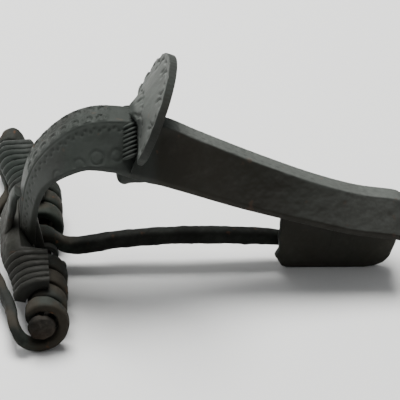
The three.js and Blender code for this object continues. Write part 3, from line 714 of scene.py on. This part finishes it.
# THE CATCHPLATE
# A thin plate hangs under the foot, cast with it and hammered out. Its front edge is nicked, and its
# lower edge is turned up on the far side into a gutter for the pin.
catch_place = 0.66
catch_overhang = 0.4
catch_thickness = 1.2
catch_edge = 0.4
catch_wear = 0.12
gutter_width = 2.8
gutter_wall = 0.85
gutter_height = 3.7
gutter_edge = 0.12
catch_start = catch_place * bow_length
catch_end = bow_length + catch_overhang


def wall_height(x):
    lower = bow_line[8:]
    return float(np.interp(x, lower[:, 0], lower[:, 2])) - bow_wall / 2


def flat_slab(name, outline, low, high, soften, axis):
    """A slab with rounded edges: an outline pushed from low to high along Y or X."""
    outline = np.asarray(outline, float)
    before, after = np.roll(outline, 1, axis=0), np.roll(outline, -1, axis=0)
    run = after - before
    run /= np.linalg.norm(run, axis=1, keepdims=True)
    area = np.sum(outline[:, 0] * after[:, 1] - after[:, 0] * outline[:, 1]) / 2
    inward = np.stack([-run[:, 1], run[:, 0]], axis=1) * math.copysign(1, area)
    rings = []
    for level, pull in ((low, 1.0), (low + 0.3 * soften, 0.3), (low + soften, 0.0),
                        (high - soften, 0.0), (high - 0.3 * soften, 0.3), (high, 1.0)):
        flat = outline + inward * soften * pull
        if axis == "Y":
            rings.append([[x, level, z] for x, z in flat])
        else:
            rings.append([[level, y, z] for y, z in flat])
    return closed_shell(name, rings)


def plate_outline():
    s, e = catch_start, catch_end
    front_edge = [[s, wall_height(s)], [s, 7.6], [s + 0.02, 5.6], [s + 0.25, 3.3], [s + 0.05, 2.8],
                  [s - 0.2, 2.2], [s - 0.05, 1.85]]
    lower_edge = [[s + 0.2, 1.5], [s + 0.5, 0.9], [s + 0.85, 0.35], [s + 1.7, 0.02], [s + 4.0, 0.0],
                  [e - 8.0, 0.0], [e - 4.6, 0.03], [e - 3.0, 0.28], [e - 1.7, 0.9]]
    back_edge = [[e - 0.85, 2.0], [e - 0.4, 3.6], [e - 0.12, 5.2], [e - 0.5, 8.0],
                 [e - 1.2, wall_height(e - 1.2)], [e - 7, wall_height(e - 7)]]
    points = front_edge + lower_edge + back_edge
    fine = []
    for a, b in zip(points, points[1:] + points[:1]):
        count = max(int(math.dist(a, b) / 0.5), 1)
        fine += [[mix(a[0], b[0], k / count), mix(a[1], b[1], k / count)] for k in range(count)]
    fine = np.array(fine)
    worn = np.array([noise.noise(Vector((x * 0.9, z * 0.9, 3.3))) for x, z in fine])
    edge = smooth(fine[:, 1], 0.0, 0.3) * (1 - smooth(fine[:, 1], 7, 8.5))
    fine[:, 0] += catch_wear * worn * edge
    return fine


def gutter_outline():
    """The gutter's section across the plate: its floor, and its wall with rounded corners."""
    root, outer = half_plate - 0.3, half_plate + gutter_width + gutter_wall
    inner = outer - gutter_wall
    return [[root, 0.0], [outer - 1.2, 0.0], [outer - 0.6, 0.08], [outer - 0.2, 0.38], [outer, 0.9],
            [outer, gutter_height - 0.3], [outer - 0.15, gutter_height], [inner + 0.15, gutter_height],
            [inner, gutter_height - 0.3], [inner, gutter_wall + 0.4], [inner - 0.12, gutter_wall + 0.12],
            [inner - 0.4, gutter_wall], [root, gutter_wall]]


half_plate = catch_thickness / 2
plate = flat_slab("catchplate", plate_outline(), -half_plate, half_plate, catch_edge, "Y")
gutter = flat_slab("gutter", gutter_outline(), catch_start + 1.7, catch_end - 3.2, gutter_edge, "X")


# JOINING THE CASTING
# All the parts above are one piece of bronze, poured in one mould, so they are made one solid here.
# It carries a dark grey-green patina, paler on the worn edges, with a painted sheen on the facets that face
# upwards, and browner on the foot's sides.
def combined(main, others, operation):
    """Joins the others to a piece, or cuts them out of it, and leaves one solid."""
    for other in others:
        step = main.modifiers.new("join", "BOOLEAN")
        step.operation = operation
        step.solver = "MANIFOLD"
        step.object = other
    plain_mesh(main)
    for other in others:
        bpy.data.objects.remove(other, do_unlink=True)


def shade_smooth(piece, angle):
    mesh = piece.data
    mesh.polygons.foreach_set("use_smooth", [True] * len(mesh.polygons))
    mesh.set_sharp_from_angle(angle=math.radians(angle))
    mesh.update()


# Room for the spring is cut from the neck's lower end before the caps are joined on
room_half = head_half + 3
room_turn = np.linspace(0, 2 * math.pi, 64, endpoint=False)
room = closed_shell("room", [
    [[cap_inner * math.cos(a), y, axis_height + cap_inner * math.sin(a)] for a in room_turn]
    for y in (-room_half, room_half)])
casting = bow_bar
combined(casting, [room], "DIFFERENCE")
combined(casting, [caps, hook, axle_eye, axle_bar, crest, lug, beads, plate, gutter], "UNION")
casting.name = "bronze_casting"
casting.data.name = "bronze_casting"
shade_smooth(casting, 42)


def shader_group(name, inputs, outputs):
    group = bpy.data.node_groups.new(name, "ShaderNodeTree")
    for label, kind, value in inputs:
        group.interface.new_socket(label, in_out="INPUT", socket_type=kind).default_value = value
    for label, kind in outputs:
        group.interface.new_socket(label, in_out="OUTPUT", socket_type=kind)
    return group, group.nodes.new("NodeGroupInput"), group.nodes.new("NodeGroupOutput")


def ramp(tree, value, low, high, start=0.0, end=1.0, turn="SMOOTHSTEP"):
    """Spreads a value from low to high over start to end."""
    made = add_node(tree, "ShaderNodeMapRange", {
        "Value": value, "From Min": low, "From Max": high, "To Min": start, "To Max": end,
    }, interpolation_type=turn)
    return made.outputs["Result"]


def noise_over(tree, place, scale, detail, roughness=0.5):
    texture = add_node(tree, "ShaderNodeTexNoise", {
        "Vector": place, "Scale": scale, "Detail": detail, "Roughness": roughness})
    return texture.outputs["Fac"]


def calculated(tree, operation, a, b, clamped=False):
    return add_node(tree, "ShaderNodeMath", {0: a, 1: b}, operation=operation, use_clamp=clamped).outputs[0]


def blend_colour(tree, factor, a, b):
    return add_node(tree, "ShaderNodeMix", {0: factor, 6: a, 7: b}, data_type="RGBA").outputs[2]


def patina_group():
    """Patches, fine mottle and small spots of corrosion over old metal."""
    group, start, end = shader_group("Old metal skin", [
        ("Dark", "NodeSocketColor", (0.05, 0.055, 0.05, 1)),
        ("Light", "NodeSocketColor", (0.12, 0.13, 0.125, 1)),
        ("Tint", "NodeSocketColor", (0.05, 0.085, 0.065, 1)),
        ("Spots", "NodeSocketColor", (0.16, 0.06, 0.03, 1)),
        ("Wear and sheen", "NodeSocketColor", (0.2, 0.21, 0.2, 1)),
        ("Brown", "NodeSocketColor", (0.05, 0.04, 0.03, 1)),
        ("Tint share", "NodeSocketFloat", 0.4),
        ("Spot share", "NodeSocketFloat", 0.5),
        ("Paleness", "NodeSocketFloat", 0.0),
        ("Darkening", "NodeSocketFloat", 0.0),
        ("Brownness", "NodeSocketFloat", 0.0),
    ], [("Colour", "NodeSocketColor"), ("Roughness", "NodeSocketFloat"), ("Height", "NodeSocketFloat")])
    given = start.outputs
    near_black = (0.006, 0.006, 0.005, 1)
    place = add_node(group, "ShaderNodeTexCoord").outputs["Object"]
    patches = noise_over(group, place, 210.0, 6.0, 0.6)
    grain = noise_over(group, place, 1300.0, 5.0, 0.65)
    specks = noise_over(group, place, 620.0, 3.0)
    tints = noise_over(group, place, 120.0, 4.0)
    body = blend_colour(group, ramp(group, patches, 0.36, 0.66), given["Dark"], given["Light"])
    deeper = blend_colour(group, 0.55, body, given["Dark"])
    mottled = blend_colour(group, ramp(group, grain, 0.3, 0.72), body, deeper)
    tint_mask = calculated(group, "MULTIPLY", ramp(group, tints, 0.42, 0.62), given["Tint share"])
    tinted = blend_colour(group, tint_mask, mottled, given["Tint"])
    browned = blend_colour(group, given["Brownness"], tinted, given["Brown"])
    # The pale colour comes in by the Paleness mask, which holds rubbed wear on the edges and a painted sheen
    # on faces turned to the lamps.
    grained = ramp(group, grain, 0.3, 0.7, 0.7, 1.15, "LINEAR")
    wear_and_sheen_share = calculated(group, "MULTIPLY", given["Paleness"], grained, clamped=True)
    worn = blend_colour(group, wear_and_sheen_share, browned, given["Wear and sheen"])
    spot_mask = calculated(group, "MULTIPLY", ramp(group, specks, 0.66, 0.74), given["Spot share"])
    spotted = blend_colour(group, spot_mask, worn, given["Spots"])
    # The Darkening mask blends towards near black: darker hollows and near cap, and painted shade on the
    # foot's sides towards its end.
    group.links.new(blend_colour(group, given["Darkening"], spotted, near_black), end.inputs["Colour"])
    group.links.new(ramp(group, grain, 0.3, 0.7, -0.08, 0.12, "LINEAR"), end.inputs["Roughness"])
    group.links.new(calculated(group, "ADD", grain, patches), end.inputs["Height"])
    return group


old_metal = patina_group()


def weathering(piece):
    """How far each point stands out or lies in a hollow, with its normal and its place in millimetres."""
    mesh = piece.data
    count = len(mesh.vertices)
    place = np.empty(count * 3)
    mesh.vertices.foreach_get("co", place)
    normal = np.empty(count * 3)
    mesh.vertex_normals.foreach_get("vector", normal)
    ends = np.empty(len(mesh.edges) * 2, dtype=int)
    mesh.edges.foreach_get("vertices", ends)
    place = place.reshape(-1, 3) * 1000 + frame_origin
    normal = normal.reshape(-1, 3)
    ends = ends.reshape(-1, 2)
    both = np.vstack([ends, ends[:, ::-1]])
    here, there = both.T
    neighbours = np.maximum(np.bincount(here, minlength=count), 1)
    step = place[there] - place[here]
    rise = np.sum(step * normal[here], axis=1) / np.maximum(np.linalg.norm(step, axis=1), 0.12)
    ridge = -np.bincount(here, rise, count) / neighbours
    for _ in range(2):
        ridge = 0.5 * ridge + 0.5 * np.bincount(here, ridge[there], count) / neighbours
    return ridge, normal, place


def store(piece, label, values):
    piece.data.attributes.new(label, "FLOAT", "POINT").data.foreach_set("value", np.clip(values, 0, 1))


def old_metal_material(name, values, metallic, roughness, bump):
    material = bpy.data.materials.new(name)
    material.use_nodes = True
    tree = material.node_tree
    shader = tree.nodes["Principled BSDF"]
    shader.inputs["Metallic"].default_value = metallic
    shader.inputs["Specular IOR Level"].default_value = 0.1
    skin = tree.nodes.new("ShaderNodeGroup")
    skin.node_tree = old_metal
    for key, value in values.items():
        skin.inputs[key].default_value = value
    for label in ("Paleness", "Darkening", "Brownness"):
        stored = add_node(tree, "ShaderNodeAttribute", attribute_name=label.lower())
        tree.links.new(stored.outputs["Fac"], skin.inputs[label])
    tree.links.new(skin.outputs["Colour"], shader.inputs["Base Color"])
    rough = calculated(tree, "ADD", skin.outputs["Roughness"], roughness)
    tree.links.new(rough, shader.inputs["Roughness"])
    bumped = add_node(tree, "ShaderNodeBump", {
        "Height": skin.outputs["Height"], "Strength": bump, "Distance": 0.0001})
    tree.links.new(bumped.outputs["Normal"], shader.inputs["Normal"])
    return material


# The sharp edges are rubbed pale. The facets that face upwards, the crest's front (more so towards its top)
# and the neck's front, which faces the left lamp, are paler as a painted sheen. The foot's sides and the
# catchplate are browner. Every hollow and the near cap are darker, and the foot's sides towards its end carry
# painted shade.
bow_pale = 0.08
bow_side_pale = 0.13
foot_pale = 0.55
crest_low_pale = 0.12
crest_high_pale = 0.45
neck_pale = 0.3
edge_pale = 0.25
cap_edge_pale = 0.15
rim_pale = 0.12
near_cap_dark = 0.55
foot_end_shade = 0.4
foot_brown = 0.6
head_brown = 0.35
ridge, facing, spot = weathering(casting)
x, y, z = spot.T
is_head = (1 - smooth(z, 9, 13)) * (x < 1)
off_head = 1 - is_head
past_crest = smooth(x, 13.5, 15.5)
on_top = smooth(facing[:, 2], 0.45, 0.85) * off_head
sideways = smooth(np.abs(facing[:, 1]), 0.5, 0.9)
on_neck = smooth(-facing[:, 0], 0.3, 0.9) * (1 - smooth(x, -3, 7)) * off_head
is_crest = smooth(z, 24, 26) * smooth(x, 10.5, 11.5) * (x < 18)
crest_front = smooth(-facing @ crest_back, 0.3, 0.8) * smooth(x, 11.2, 11.8) * (z > 20)
on_rim = is_crest * (np.abs(facing @ crest_back) < 0.6)
near_cap = is_head * smooth(-y, 3, 6)
foot_end = smooth(np.abs(facing[:, 1]), 0.25, 0.5) * smooth(x, 18, 34) * smooth(z, 5.5, 8)
# Painted sheen: the upward facets, the crest's front and the neck's front are paler where the lamps light
# them; the ridge terms are rubbed edges.
pale = on_top * mix(bow_pale, foot_pale, past_crest) + sideways * (1 - past_crest) * off_head * bow_side_pale
pale += mix(crest_low_pale, crest_high_pale, smooth(z, 22, 29)) * crest_front
pale += neck_pale * on_neck
pale += edge_pale * smooth(ridge, 0.3, 0.6) * off_head * (1 - sideways * past_crest)
pale += cap_edge_pale * smooth(ridge, 0.1, 0.4) * is_head
store(casting, "paleness", mix(pale, rim_pale, on_rim))
# Darker in every hollow and on the near cap, and painted shade on the foot's sides towards its end.
store(casting, "darkening", smooth(-ridge, 0.06, 0.3) + near_cap_dark * near_cap + foot_end_shade * foot_end)
store(casting, "brownness", foot_brown * sideways * past_crest + head_brown * is_head * (y < 8))
bronze = old_metal_material("patinated_bronze", {
    "Dark": (0.017, 0.018, 0.016, 1), "Light": (0.034, 0.037, 0.034, 1), "Tint": (0.022, 0.03, 0.025, 1),
    "Wear and sheen": (0.14, 0.148, 0.138, 1), "Brown": (0.03, 0.026, 0.02, 1),
    "Spots": (0.1, 0.055, 0.035, 1), "Tint share": 0.4, "Spot share": 0.3}, 0.1, 0.55, 0.4)
casting.data.materials.clear()
casting.data.materials.append(bronze)
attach(casting, "root")
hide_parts("brooch_body")


# THE SPRING, CHORD AND PIN
# One bronze wire, hammered flat where it is coiled. It winds out to the near ring, crosses in front of
# the head as the chord, winds in from the far end, and leaves over the top as the pin.
wire_thickness = 1.5
band_width = 2.8
turn_gap = 0.42
near_turns = 4.4
far_turns = 6
far_first_top = 2.4
near_last_right = -4.0
near_ring_reach = 3.85
near_ring_shift = 1.2
ring_band_width = 2.0
chord_width = 2.0
chord_bulge = 8.1
chord_height = 3.3
near_taper = 0.3
last_turn_opening = 2.3
far_ring_width = 2.8
far_pull_out = 1.1
far_pull_back = 2.1
far_pull_up = 1.7
far_ring_growth = -0.75
far_foot_growth = 0.55
pin_thickness = 2.45
pin_width = 2.1
pin_tip = 1.1
pin_crown = 4.6
pin_tip_x = 0.95 * bow_length
pitch = band_width + turn_gap
coil_radius = coil_reach - wire_thickness / 2
pin_line = catch_thickness / 2 + gutter_width / 2
turn_steps = 44
near_wire_end = math.radians(-150)
far_wire_start = math.radians(150) + 2 * math.pi * far_turns
far_wire_end = math.radians(90)


def turn_stations(y, angle, radius, middle_x, middle_z):
    out = np.stack([np.cos(angle), np.zeros(len(angle)), np.sin(angle)], axis=1)
    middle = np.stack([middle_x, y, middle_z], axis=1)
    return middle + out * radius[:, None], out


def near_coils():
    """The wire from beside the head out to the larger near ring at its end."""
    first = near_wire_end + 2 * math.pi * near_turns
    angle = np.linspace(first, near_wire_end, round(near_turns * turn_steps) + 1)
    ring_right = near_last_right - pitch * 4
    y = ring_right + pitch * angle / (2 * math.pi)
    ring = 1 - smooth(angle, 0, 1.3 * math.pi)
    taper = near_taper * (1 - smooth(y, ring_right, ring_right + pitch * 3)) * (1 - ring)
    radius = mix(coil_radius, near_ring_reach - wire_thickness / 2, ring) - taper / 2
    place, out = turn_stations(y, angle, radius, -near_ring_shift * ring - taper,
                               mix(axis_height, near_ring_reach, ring))
    return place, out, mix(band_width, ring_band_width, ring)


def far_coils():
    """The wire from the far end turn, which has been pulled askew, in to where the pin leaves."""
    turns = (far_wire_start - far_wire_end) / (2 * math.pi)
    angle = np.linspace(far_wire_start, far_wire_end, round(turns * turn_steps) + 1)
    pull = smooth(angle, far_wire_start - 1.75 * math.pi, far_wire_start - math.pi)
    lift = smooth(angle, far_wire_start - 0.8 * math.pi, far_wire_start - 0.2 * math.pi)
    foot = np.exp(-(((angle - far_wire_start) / (2 * math.pi) + 1.67) ** 2) / 0.14)
    coiled = far_first_top + pitch * (angle - far_wire_end) / (2 * math.pi)
    opening = last_turn_opening * (1 - smooth(angle, far_wire_end, 2 * math.pi))
    radius = coil_radius + far_ring_growth * pull + far_foot_growth * foot
    place, out = turn_stations(coiled - opening + far_pull_out * pull, angle, radius,
                               bend_at(coiled) - far_pull_back * pull,
                               axis_height + far_pull_up * lift - far_foot_growth * foot)
    return place, out, mix(band_width, far_ring_width, pull)


def chord_between(near_end, near_out, far_end, far_out):
    """The chord, from the near ring's end past the front of the head to the far end turn."""
    z = chord_height
    route = np.array([
        near_end, [-4.5, -17.75, z - 0.3], [-4.95, -16.5, z + 0.2], [-5.15, -14.5, z + 0.2],
        [-5.5, -12.2, z], [-6.6, -8.2, z], [-7.7, -4, z], [-chord_bulge, 0.5, z], [-7.8, 5, z],
        [-7.1, 8.2, z], [-5.9, 11, z - 0.2], [-4.95, 13.3, z - 0.4], [-4.8, 15.2, z - 0.4],
        [-5.1, 17.5, z - 0.3], [-5.5, 19.5, z - 0.3], [-6.0, 21.6, z - 0.1], [-6.0, 23, z + 1.3], far_end])
    t, s = even_steps(route, 0.35)
    share = (s / s[-1])[1:-1, None]
    out = mix(np.tile([-1.0, 0, 0], (len(share), 1)), near_out, 1 - smooth(share, 0, 0.1))
    return spline(route, t)[1:-1], mix(out, far_out, smooth(share, 0.88, 1))


def pin_from(root):
    """The pin, from the top of the last coil to its point in the gutter."""
    root_y = root[1] + 0.6
    rest_height = gutter_wall + pin_tip / 2 + 0.35
    route = np.array([
        root, [0.9, mix(root[1], root_y, 0.2), axis_height + coil_radius - 0.55],
        [1.9, mix(root[1], root_y, 0.6), axis_height + 0.5], [3.2, root_y, 3.55],
        [6, root_y, pin_crown - 0.95], [11, mix(root_y, pin_line, 0.4), pin_crown - 0.4],
        [21, mix(root_y, pin_line, 0.7), pin_crown], [catch_start, pin_line, pin_crown - 0.75],
        [42, pin_line, 2.6], [pin_tip_x, pin_line, rest_height]])
    t, _ = even_steps(route, 0.4)
    place = spline(route, t)[1:]
    grown = smooth(place[:, 0], 0.5, 4.5)
    tip = smooth(place[:, 0], catch_start - 6, pin_tip_x)
    width = mix(mix(band_width, pin_width, grown), pin_tip, tip)
    thickness = mix(mix(wire_thickness, pin_thickness, grown), pin_tip, tip)
    return place, np.tile([0, 0, 1.0], (len(place), 1)), width, thickness


def wire_stations():
    """Places, outward directions, widths and thicknesses along the whole wire."""
    near_place, near_out, near_width = near_coils()
    far_place, far_out, far_width = far_coils()
    chord_place, chord_out = chord_between(near_place[-1], near_out[-1], far_place[0], far_out[0])
    pin_place, pin_out, pin_widths, pin_thicknesses = pin_from(far_place[-1])
    places = np.vstack([near_place, chord_place, far_place, pin_place])
    outs = np.vstack([near_out, chord_out, far_out, pin_out])
    widths = np.concatenate([near_width, np.full(len(chord_place), chord_width), far_width, pin_widths])
    coiled_count = len(places) - len(pin_place)
    return places, outs, widths, np.concatenate([np.full(coiled_count, wire_thickness), pin_thicknesses])


wire = swept_band("spring_wire", *wire_stations(), wear=0.1, squareness=0.6, around=24)
top_pale = 0.12
wire_edge_pale = 0.2
hollow_dark = 0.6
pin_dirt = 0.5
coil_brown = 0.8
ridge, facing, spot = weathering(wire)
on_pin = smooth(spot[:, 0], 2.5, 6)
# The wire's upward faces are paler as a painted sheen from the overhead lamp, and its ridges are rubbed pale.
# Its hollows and the pin are darker.
pale = top_pale * smooth(facing[:, 2], 0.3, 0.9) * (1 - on_pin) + wire_edge_pale * smooth(ridge, 0.15, 0.4)
store(wire, "paleness", pale)
store(wire, "darkening", hollow_dark * smooth(-ridge, 0.05, 0.2) + pin_dirt * on_pin)
store(wire, "brownness", coil_brown * smooth(roughness_at(spot, 0.25), -0.1, 0.25) * (1 - on_pin))
wire_bronze = old_metal_material("spring_bronze", {
    "Dark": (0.01, 0.011, 0.0095, 1), "Light": (0.026, 0.028, 0.024, 1), "Tint": (0.018, 0.026, 0.02, 1),
    "Wear and sheen": (0.065, 0.067, 0.06, 1), "Brown": (0.026, 0.021, 0.015, 1),
    "Spots": (0.1, 0.046, 0.022, 1), "Tint share": 0.4, "Spot share": 0.5}, 0.0, 0.72, 0.9)
wire.data.materials.append(wire_bronze)
shade_smooth(wire, 60)
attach(wire, "root")
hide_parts("spring_and_pin")


# THE AXLE
# An iron rod runs through the coils and the eye behind the neck, and so holds the spring to the casting.
# It has rusted, and its swollen end fills the near ring.
plug_radius = 1.9
plug_start = -18.5
plug_end = -17.4
plug_rows = 9
plug_wear = 0.3
axle_far_end = far_cap_end - 3


def axle_shell():
    """The rod and its swollen end, turned as one profile of radius and place along the spring."""
    profile = [(0.02, plug_start), (0.6, plug_start), (1.2, plug_start),
               (plug_radius * 0.82, plug_start + 0.06), (plug_radius * 0.95, plug_start + 0.2),
               (plug_radius, plug_start + 0.45), (plug_radius, plug_end - 0.3),
               (plug_radius * 0.96, plug_end)]
    profile += [(axle_radius, y) for y in np.linspace(plug_end + 0.25, axle_far_end, 60)]
    profile += [(0.02, axle_far_end)]
    turn = np.linspace(0, 2 * math.pi, 36, endpoint=False)
    rings = []
    for r, y in profile:
        shift = bend_at(y) - (near_ring_shift if y < plug_end + 0.1 else 0)
        rings.append([[r * math.cos(a) + shift, y, axis_height + r * math.sin(a)] for a in turn])
    rings = np.array(rings)
    rust = roughness_at(rings, 1.1, 4)
    rings[:plug_rows, :, 1] += plug_wear * rust[:plug_rows] - 0.05
    return closed_shell("iron_axle", rings)


axle = axle_shell()
rusted_iron = old_metal_material("rusted_iron", {
    "Dark": (0.006, 0.006, 0.005, 1), "Light": (0.045, 0.04, 0.034, 1), "Tint": (0.035, 0.02, 0.012, 1),
    "Spots": (0.2, 0.08, 0.025, 1), "Tint share": 0.3, "Spot share": 0.6}, 0.0, 0.8, 1.0)
axle.data.materials.append(rusted_iron)
shade_smooth(axle, 60)
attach(axle, "root")
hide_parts("spring_axle")


# FLOOR, LIGHT AND CAMERA
# The brooch stands on a flat sheet of pale paper, under broad soft lights.
# The camera looks down from beside the spring's near end, slightly turned about its own axis.
floor_half = 2
floor_material = bpy.data.materials.new("pale_paper")
floor_material.use_nodes = True
floor_shader = floor_material.node_tree.nodes["Principled BSDF"]
floor_shader.inputs["Base Color"].default_value = (0.8, 0.8, 0.79, 1)
floor_shader.inputs["Roughness"].default_value = 0.9
floor_mesh = bpy.data.meshes.new("floor")
floor_corners = [(-floor_half, -floor_half, 0), (floor_half, -floor_half, 0),
                 (floor_half, floor_half, 0), (-floor_half, floor_half, 0)]
floor_mesh.from_pydata(floor_corners, [], [(0, 1, 2, 3)])
floor = bpy.data.objects.new("floor", floor_mesh)
floor.data.materials.append(floor_material)
bpy.context.collection.objects.link(floor)

world = bpy.data.worlds.new("soft_room")
bpy.context.scene.world = world
world.use_nodes = True
world.node_tree.nodes["Background"].inputs["Color"].default_value = (0.97, 0.98, 1.0, 1)
world.node_tree.nodes["Background"].inputs["Strength"].default_value = 0.22


def soft_light(name, place, target, size, power, colour):
    """A round soft light, in metres and watts, turned to face its target."""
    data = bpy.data.lights.new(name, "AREA")
    data.shape = "DISK"
    data.size = size
    data.energy = power
    data.color = colour
    light = bpy.data.objects.new(name, data)
    bpy.context.collection.objects.link(light)
    light.location = place
    light.rotation_euler = (Vector(target) - Vector(place)).to_track_quat("-Z", "Y").to_euler()


soft_light("overhead", (-0.05, 0.14, 0.42), (0, 0, 0), 0.26, 4.1, (1, 1, 0.985))
soft_light("window_behind", (-0.2, 0.6, 0.42), (0, 0, 0), 0.6, 1.6, (1, 1, 0.985))
soft_light("left_side", (-0.5, -0.05, 0.35), (0, 0, 0.01), 0.3, 1.0, (0.96, 0.98, 1))

camera_azimuth = math.radians(9)
camera_elevation = math.radians(37)
camera_roll = math.radians(5.4)
camera_distance = 280.0
camera_target = np.array([21.82, 0.0, 12.21])
pixels_per_mm = 7.0
picture_width = 400
sensor_width = 36.0
camera_data = bpy.data.cameras.new("camera")
camera_data.sensor_width = sensor_width
camera_data.lens = pixels_per_mm * camera_distance / picture_width * sensor_width
camera_data.clip_start = 0.01
camera = bpy.data.objects.new("camera", camera_data)
bpy.context.collection.objects.link(camera)
sight = np.array([math.sin(camera_azimuth) * math.cos(camera_elevation),
                  math.cos(camera_azimuth) * math.cos(camera_elevation), -math.sin(camera_elevation)])
level = np.array([math.cos(camera_azimuth), -math.sin(camera_azimuth), 0.0])
above = np.cross(level, sight)
camera_x = math.cos(camera_roll) * level + math.sin(camera_roll) * above
camera_y = -math.sin(camera_roll) * level + math.cos(camera_roll) * above
matrix = np.eye(4)
matrix[:3, 0] = camera_x
matrix[:3, 1] = camera_y
matrix[:3, 2] = -sight
matrix[:3, 3] = (camera_target - camera_distance * sight - frame_origin) / 1000.0
camera.matrix_world = Matrix(matrix.tolist())
bpy.context.scene.camera = camera
